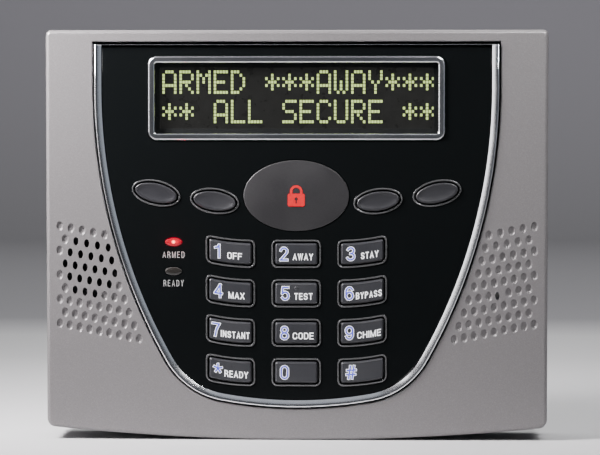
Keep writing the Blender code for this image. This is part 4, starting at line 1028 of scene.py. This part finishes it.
def strokes_of(letter):
    """A letter's centre lines in a box from 0 to 1: (points, closed) pairs."""
    if letter == "9":
        return [([(1 - x, 1 - z) for x, z in points], closed) for points, closed in strokes_of("6")]
    if letter in "O0":
        return [(bow(0.5, 0.7, 0.5, 0.3, 0, 180)[:-1] + bow(0.5, 0.3, 0.5, 0.3, 180, 360)[:-1], True)]
    if letter == "8":
        return [(bow(0.5, 0.76, 0.44, 0.24, -90, 252), True), (bow(0.5, 0.26, 0.5, 0.26, 90, 432), True)]
    if letter == "6":
        ring = bow(0.5, 0.31, 0.5, 0.31, 0, 342)
        return [(ring, True), (bow(0.5, 0.62, 0.5, 0.38, 30, 180) + [(0.0, 0.3)], False)]
    if letter == "*":
        return [([(0.5, 0.5), (0.5 + 0.5 * cos(a), 0.5 + 0.5 * sin(a))], False)
                for a in [radians(90 + 72 * i) for i in range(5)]]
    upper_bowl = [(0.0, 1.0)] + bow(0.45, 0.75, 0.5, 0.25, 90, -90) + [(0.0, 0.5)]
    left = [(0.0, 0.0), (0.0, 1.0)]
    lines = {
        "1": [[(0.0, 0.76), (0.6, 0.82), (0.93, 1.0)], [(1.0, 0.0), (1.0, 1.0)]],
        "2": [bow(0.5, 0.73, 0.5, 0.27, 165, -35) + [(0.0, 0.0)], [(0.0, 0.0), (1.0, 0.0)]],
        "3": [bow(0.46, 0.76, 0.46, 0.24, 155, -90), bow(0.46, 0.26, 0.54, 0.26, 90, -155)],
        "4": [[(0.76, 0.0), (0.76, 1.0)], [(0.76, 1.0), (0.0, 0.28)], [(0.0, 0.28), (1.0, 0.28)]],
        "5": [[(0.93, 1.0), (0.12, 1.0), (0.04, 0.5)], bow(0.48, 0.31, 0.52, 0.31, 142, -150)],
        "7": [[(0.0, 1.0), (1.0, 1.0)], [(1.0, 1.0), (0.55, 0.5), (0.38, 0.0)]],
        "#": [[(0.2, 0.0), (0.42, 1.0)], [(0.6, 0.0), (0.82, 1.0)],
              [(0.0, 0.32), (0.93, 0.32)], [(0.07, 0.68), (1.0, 0.68)]],
        "A": [[(0.0, 0.0), (0.5, 1.0), (1.0, 0.0)], [(0.2, 0.3), (0.8, 0.3)]],
        "B": [left, upper_bowl, [(0.0, 0.5)] + bow(0.48, 0.25, 0.52, 0.25, 90, -90) + [(0.0, 0.0)]],
        "C": [bow(0.5, 0.72, 0.5, 0.28, 5, 180) + bow(0.5, 0.28, 0.5, 0.28, 180, 355)],
        "D": [left, [(0.0, 1.0)] + bow(0.4, 0.68, 0.6, 0.32, 90, 0)
              + bow(0.4, 0.32, 0.6, 0.32, 0, -90) + [(0.0, 0.0)]],
        "E": [left, [(0.0, 1.0), (1.0, 1.0)], [(0.0, 0.52), (0.9, 0.52)], [(0.0, 0.0), (1.0, 0.0)]],
        "F": [left, [(0.0, 1.0), (1.0, 1.0)], [(0.0, 0.5), (0.9, 0.5)]],
        "H": [left, [(0.0, 0.52), (1.0, 0.52)], [(1.0, 0.0), (1.0, 1.0)]],
        "I": [left],
        "M": [left, [(0.0, 1.0), (0.5, 0.0), (1.0, 1.0)], [(1.0, 0.0), (1.0, 1.0)]],
        "N": [left, [(0.0, 1.0), (1.0, 0.0)], [(1.0, 0.0), (1.0, 1.0)]],
        "P": [left, upper_bowl],
        "R": [left, upper_bowl, [(0.45, 0.5), (0.9, 0.32), (1.0, 0.0)]],
        "S": [bow(0.5, 0.75, 0.48, 0.25, 15, 270) + bow(0.5, 0.25, 0.5, 0.25, 90, -165)[1:]],
        "T": [[(0.0, 1.0), (1.0, 1.0)], [(0.5, 0.0), (0.5, 1.0)]],
        "W": [[(0.0, 1.0), (0.25, 0.0), (0.5, 1.0)], [(0.5, 1.0), (0.75, 0.0), (1.0, 1.0)]],
        "X": [[(0.0, 0.0), (1.0, 1.0)], [(0.0, 1.0), (1.0, 0.0)]],
        "Y": [[(0.0, 1.0), (0.5, 0.45), (1.0, 1.0)], [(0.5, 0.45), (0.5, 0.0)]],
    }
    return [(points, False) for points in lines[letter]]


def sides_of(points, closed, half):
    """The two offset lines of a centre line, mitred at its bends, with square ends."""
    count = len(points)
    ways = []
    for i in range(count if closed else count - 1):
        ahead = Vector(points[(i + 1) % count]) - Vector(points[i])
        ways.append(ahead.normalized())
    left, right = [], []
    for i, point in enumerate(points):
        here = Vector(point)
        before = ways[i - 1] if closed or i > 0 else ways[0]
        after = ways[i] if closed or i < count - 1 else ways[-1]
        normal = Vector((-(before.y + after.y), before.x + after.x)).normalized()
        reach = half / max(normal.dot(Vector((-after.y, after.x))), 0.45)
        if not closed and i == 0:
            here = here - after * half
        if not closed and i == count - 1:
            here = here + before * half
        left.append(tuple(here + normal * reach))
        right.append(tuple(here - normal * reach))
    return left, right


def stroke(bm, points, closed, half, back, front):
    left, right = sides_of(points, closed, half)
    if closed:
        hoop(bm, [(left, back), (left, front), (right, front), (right, back)])
        return
    rings = rings_of(bm, [(left, back), (left, front), (right, front), (right, back)])
    for first, second in zip(rings, rings[1:] + rings[:1]):
        for i in range(len(points) - 1):
            bm.faces.new((first[i], first[i + 1], second[i + 1], second[i]))
    for end in (0, -1):
        bm.faces.new([ring[end] for ring in rings])


LETTER_WIDTHS = {"I": 0.0, "M": 1.25, "W": 1.5, "E": 0.85, "F": 0.85, "T": 0.95, "A": 1.1, "Y": 1.05}


def letters(name, text, size, middle, back, front, width, material, body="panel",
            shape=None, inset=0.0, gap=WORD_GAP):
    """Flat raised lettering of one stroke width, fitted to a size. shape moves each centre line's point."""
    widths = [LETTER_WIDTHS.get(letter, 1.0) for letter in text]
    unit = (size[0] - width - gap * (len(text) - 1)) / sum(widths)
    height = size[1] - width
    left = middle[0] - (size[0] - width) / 2
    low = middle[1] - height / 2
    made = None
    for letter, share in zip(text, widths):
        for points, closed in strokes_of(letter):
            placed = [(left + x * unit * share, low + z * height) for x, z in points]
            line = [shape(x, z) if shape else (x, z) for x, z in placed]
            part = solid(name, stroke, line, closed, width / 2 - inset, back, front)
            if made:
                combine(made, part, "UNION")
            else:
                made = part
        left += unit * share + gap
    made.name = name
    return piece(made, material, body)


def key_legend(name, column, middle):
    digit, digit_width, digit_x, word, word_width, word_x = LEGENDS[name]

    def curved(x, z):
        return x, z + key_lift(x - middle[0], column)

    size = (digit_width, STAR_HEIGHT if digit == "*" else DIGIT_HEIGHT)
    rise = STAR_RISE if digit == "*" else 0.0
    place = (middle[0] + digit_x, middle[1] + rise)
    front = KEY_CROWN + PRINT
    letters(f"{name}_digit_edge", digit, size, place, KEY_CROWN, front, DIGIT_STROKE, GLOWING_WHITE_INK,
            name, curved)
    letters(f"{name}_digit", digit, size, place, front, front + PRINT, DIGIT_STROKE, VIOLET_INK,
            name, curved, DIGIT_EDGE)
    if word:
        place = (middle[0] + word_x, middle[1] + WORD_FALL)
        size = (word_width, WORD_HEIGHT)
        letters(f"{name}_word", word, size, place, KEY_CROWN, front, WORD_STROKE, GLOWING_WHITE_INK,
                name, curved)


def tactile_dot(middle):
    """The small raised dot above the word on the middle key."""
    place = (middle[0] + TACTILE_DOT_PLACE[0], middle[1] + TACTILE_DOT_PLACE[1])
    foot = (TACTILE_DOT_WIDTH, TACTILE_DOT_WIDTH)
    sections = [(ellipse(foot, 24, 0.0, place), KEY_CROWN - 0.05 * MM)]
    for share in (0.3, 0.6, 0.85):
        size = TACTILE_DOT_WIDTH * sqrt(1 - share**2)
        sections.append((ellipse((size, size), 24, 0.0, place), KEY_CROWN + TACTILE_DOT_RISE * share))
    piece(solid("key_5_dot", stack, sections), KEY_GREY, "key_5")


def labels():
    front = FACE_FRONT + PRINT
    for text, width, z in LABELS:
        name = f"{text.lower()}_label"
        letters(name, text, (width, LABEL_HEIGHT), (LIGHT_X, z), FACE_FRONT, front, LABEL_STROKE, LABEL_INK,
                gap=LABEL_GAP)


# Inner pieces

INNER_FINISHES = {
    "armed_led": LED_BODY,
    "ready_led": LED_BODY,
    "back_plate": BLACK_PLASTIC,
    "circuit_board": BOARD,
    "controller_chip": CHIP,
    "keypad_mat": SILICONE,
    "lcd_backlight": BACKLIGHT,
    "lcd_frame": BLACK_PLASTIC,
    "lcd_glass": LCD_GLASS,
    "microphone_boot": SILICONE,
    "microphone_capsule": CAPSULE,
    "speaker_cone": SPEAKER_PAPER,
    "speaker_frame": SPEAKER_METAL,
    "speaker_gasket": FOAM,
    "speaker_lead_black": LEAD_BLACK,
    "speaker_lead_red": LEAD_RED,
    "speaker_magnet": STEEL,
    "speaker_plug": PLUG,
    "terminal_block": TERMINAL,
    "board_screw": STEEL,
    "terminal_screw": STEEL,
}


def finish_inner_pieces():
    for name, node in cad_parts.items():
        kind = name.rstrip("_1234") if "screw" in name else name
        if kind in INNER_FINISHES:
            node.data.materials.clear()
            node.data.materials.append(INNER_FINISHES[kind])


# Stage, light and camera


def backdrop():
    """A floor that curves up into a wall, with painted light and shade: a painted pool of light near the
    keypad, painted shade on the floor ahead and behind, and a darker painted shade on the far floor and the
    wall, deepest at floor level.
    """
    nodes = Nodes("backdrop_with_painted_light")
    place = nodes.add("ShaderNodeSeparateXYZ", {"Vector": nodes.place}).outputs
    # Painted shade on the wall: darkest at floor level, lighter higher up
    top = nodes.mapped(place["Z"], 0.0, 1.0, BOTTOM, BOTTOM + WALL_SHADE_HEIGHT)
    grain = nodes.noise(900.0, 3.0)
    rise = nodes.mapped(place["Y"], 0.0, 1.0, *WALL_SHADE_FADE)
    far = nodes.mapped(place["Y"], 0.0, 1.0, *FAR_SHADE_FADE)
    ahead = nodes.mapped(place["Y"], 1.0, 0.0, *AHEAD_SHADE_FADE)
    # Painted pool of light on the floor round the keypad, and painted shade on the floor ahead of it and
    # behind it
    painted_light_pool = nodes.mixed(grain, (0.48, 0.477, 0.486), (0.54, 0.537, 0.546))
    painted_far_shade = nodes.mixed(grain, (0.31, 0.308, 0.314), (0.35, 0.348, 0.354))
    pale = nodes.mixed(ahead, nodes.mixed(far, painted_light_pool, painted_far_shade), (0.30, 0.298, 0.303))
    # The far floor and the wall in a darker painted shade, deepest at floor level
    wall = nodes.mixed(top, (0.165, 0.163, 0.172), (0.27, 0.261, 0.287))
    nodes.link(nodes.mixed(rise, pale, wall), "Base Color")
    nodes.link(nodes.mapped(grain, 0.75, 0.9), "Roughness")
    nodes.bump(grain, 0.15, 0.05 * MM)
    bends = [pi / 2 * i / 16 for i in range(1, 17)]
    profile = [(-FLOOR_AHEAD, BOTTOM), (FLOOR_BEHIND, BOTTOM)]
    profile += [(FLOOR_BEHIND + SWEEP * sin(a), BOTTOM + SWEEP * (1 - cos(a))) for a in bends]
    profile += [(FLOOR_BEHIND + SWEEP, WALL_TOP)]
    bm = bmesh.new()
    rows = [[bm.verts.new((side * FLOOR_HALF_WIDTH, y, z)) for y, z in profile] for side in (-1, 1)]
    for i in range(len(profile) - 1):
        bm.faces.new((rows[0][i], rows[1][i], rows[1][i + 1], rows[0][i + 1]))
    bmesh.ops.recalc_face_normals(bm, faces=bm.faces)
    mesh = bpy.data.meshes.new("backdrop")
    bm.to_mesh(mesh)
    bm.free()
    mesh.shade_smooth()
    mesh.materials.append(nodes.material)
    sweep = bpy.data.objects.new("backdrop", mesh)
    bpy.context.scene.collection.objects.link(sweep)


def lamp(name, kind, place, power, color):
    """A light that the camera doesn't see."""
    light = bpy.data.lights.new(name, kind)
    light.energy = power
    light.color = color
    made = bpy.data.objects.new(name, light)
    made.location = place
    made.visible_camera = False
    bpy.context.scene.collection.objects.link(made)
    return made


def softbox(name, place, size, power, color=(1.0, 1.0, 1.0), aim=(0.0, -0.02, 0.0), spread=180.0):
    made = lamp(name, "AREA", place, power, color)
    made.data.shape = "RECTANGLE"
    made.data.size, made.data.size_y = size
    made.data.spread = radians(spread)
    made.rotation_euler = (Vector(aim) - Vector(place)).to_track_quat("-Z", "Y").to_euler()


def lights():
    softbox("key_softbox", (-0.25, -0.145, 0.21), (0.12, 0.12), 2.3, (1.0, 0.975, 0.985),
            aim=(-0.10, 0.0, 0.08), spread=95.0)
    softbox("side_strip", (-0.80, -0.24, 0.20), (0.10, 0.4), 1.3, (1.0, 0.98, 0.985))
    softbox("left_card", (-0.78, -0.57, 0.02), (0.2, 0.75), 1.3, (1.0, 0.99, 0.99))
    softbox("upper_left_card", (-0.57, -0.60, 0.57), (0.22, 0.22), 0.3)
    softbox("upper_right_card", (0.57, -0.60, 0.57), (0.26, 0.26), 0.42)
    softbox("top_softbox", (0.0, -0.75, 1.0), (0.7, 0.5), 0.5, (0.86, 0.91, 1.0))
    softbox("corner_softbox", (0.20, -0.26, 0.30), (0.12, 0.12), 0.34, aim=(0.10, 0.0, 0.09), spread=60.0)
    softbox("right_card", (0.85, -0.62, 0.0), (0.45, 0.9), 0.5, (0.80, 0.88, 1.0))
    softbox("backdrop_wash", (0.0, 0.30, 0.9), (1.8, 0.4), 8.8, aim=(0.0, 0.30, BOTTOM))
    softbox("wall_wash", (0.0, 1.0, 0.9), (2.0, 0.5), 11.0, aim=(0.0, 1.25, BOTTOM))
    before_lens = (LIGHT_X, -(FACE_FRONT + 4 * MM), ARMED_Z)
    glow = lamp("lens_glow", "POINT", before_lens, 0.0016, (1.0, 0.02, 0.05))
    glow.data.shadow_soft_size = 1.5 * MM
    world = bpy.data.worlds.new("studio")
    world.use_nodes = True
    background = world.node_tree.nodes["Background"]
    background.inputs["Color"].default_value = (0.23, 0.25, 0.29, 1.0)
    background.inputs["Strength"].default_value = 0.16
    bpy.context.scene.world = world


def camera():
    data = bpy.data.cameras.new("camera")
    data.sensor_width = SENSOR
    data.lens = SENSOR * CAMERA_DISTANCE / FRAMED_WIDTH
    data.clip_end = 20.0
    eye = bpy.data.objects.new("camera", data)
    flat = cos(CAMERA_ELEVATION)
    away = Vector((flat * sin(CAMERA_AZIMUTH), -flat * cos(CAMERA_AZIMUTH), sin(CAMERA_ELEVATION)))
    eye.location = Vector(CAMERA_AIM) + away * CAMERA_DISTANCE
    eye.rotation_euler = (-away).to_track_quat("-Z", "Y").to_euler()
    bpy.context.scene.collection.objects.link(eye)
    bpy.context.scene.camera = eye


def main():
    housing_shell()
    trim_ring()
    face_shield()
    bezel_frame()
    window_pane()
    display_characters()
    badge_dome()
    padlock()
    lens("armed_lens", ARMED_Z, LENS_LIT)
    lens("ready_lens", READY_Z, LENS_DARK)
    for name, column, middle in key_places():
        number_key(name, column, middle)
        key_legend(name, column, middle)
        if name == "key_5":
            tactile_dot(middle)
    for name, tilt, middle in function_key_places():
        function_key(name, tilt, middle)
    labels()
    finish_inner_pieces()
    backdrop()
    lights()
    camera()


main()
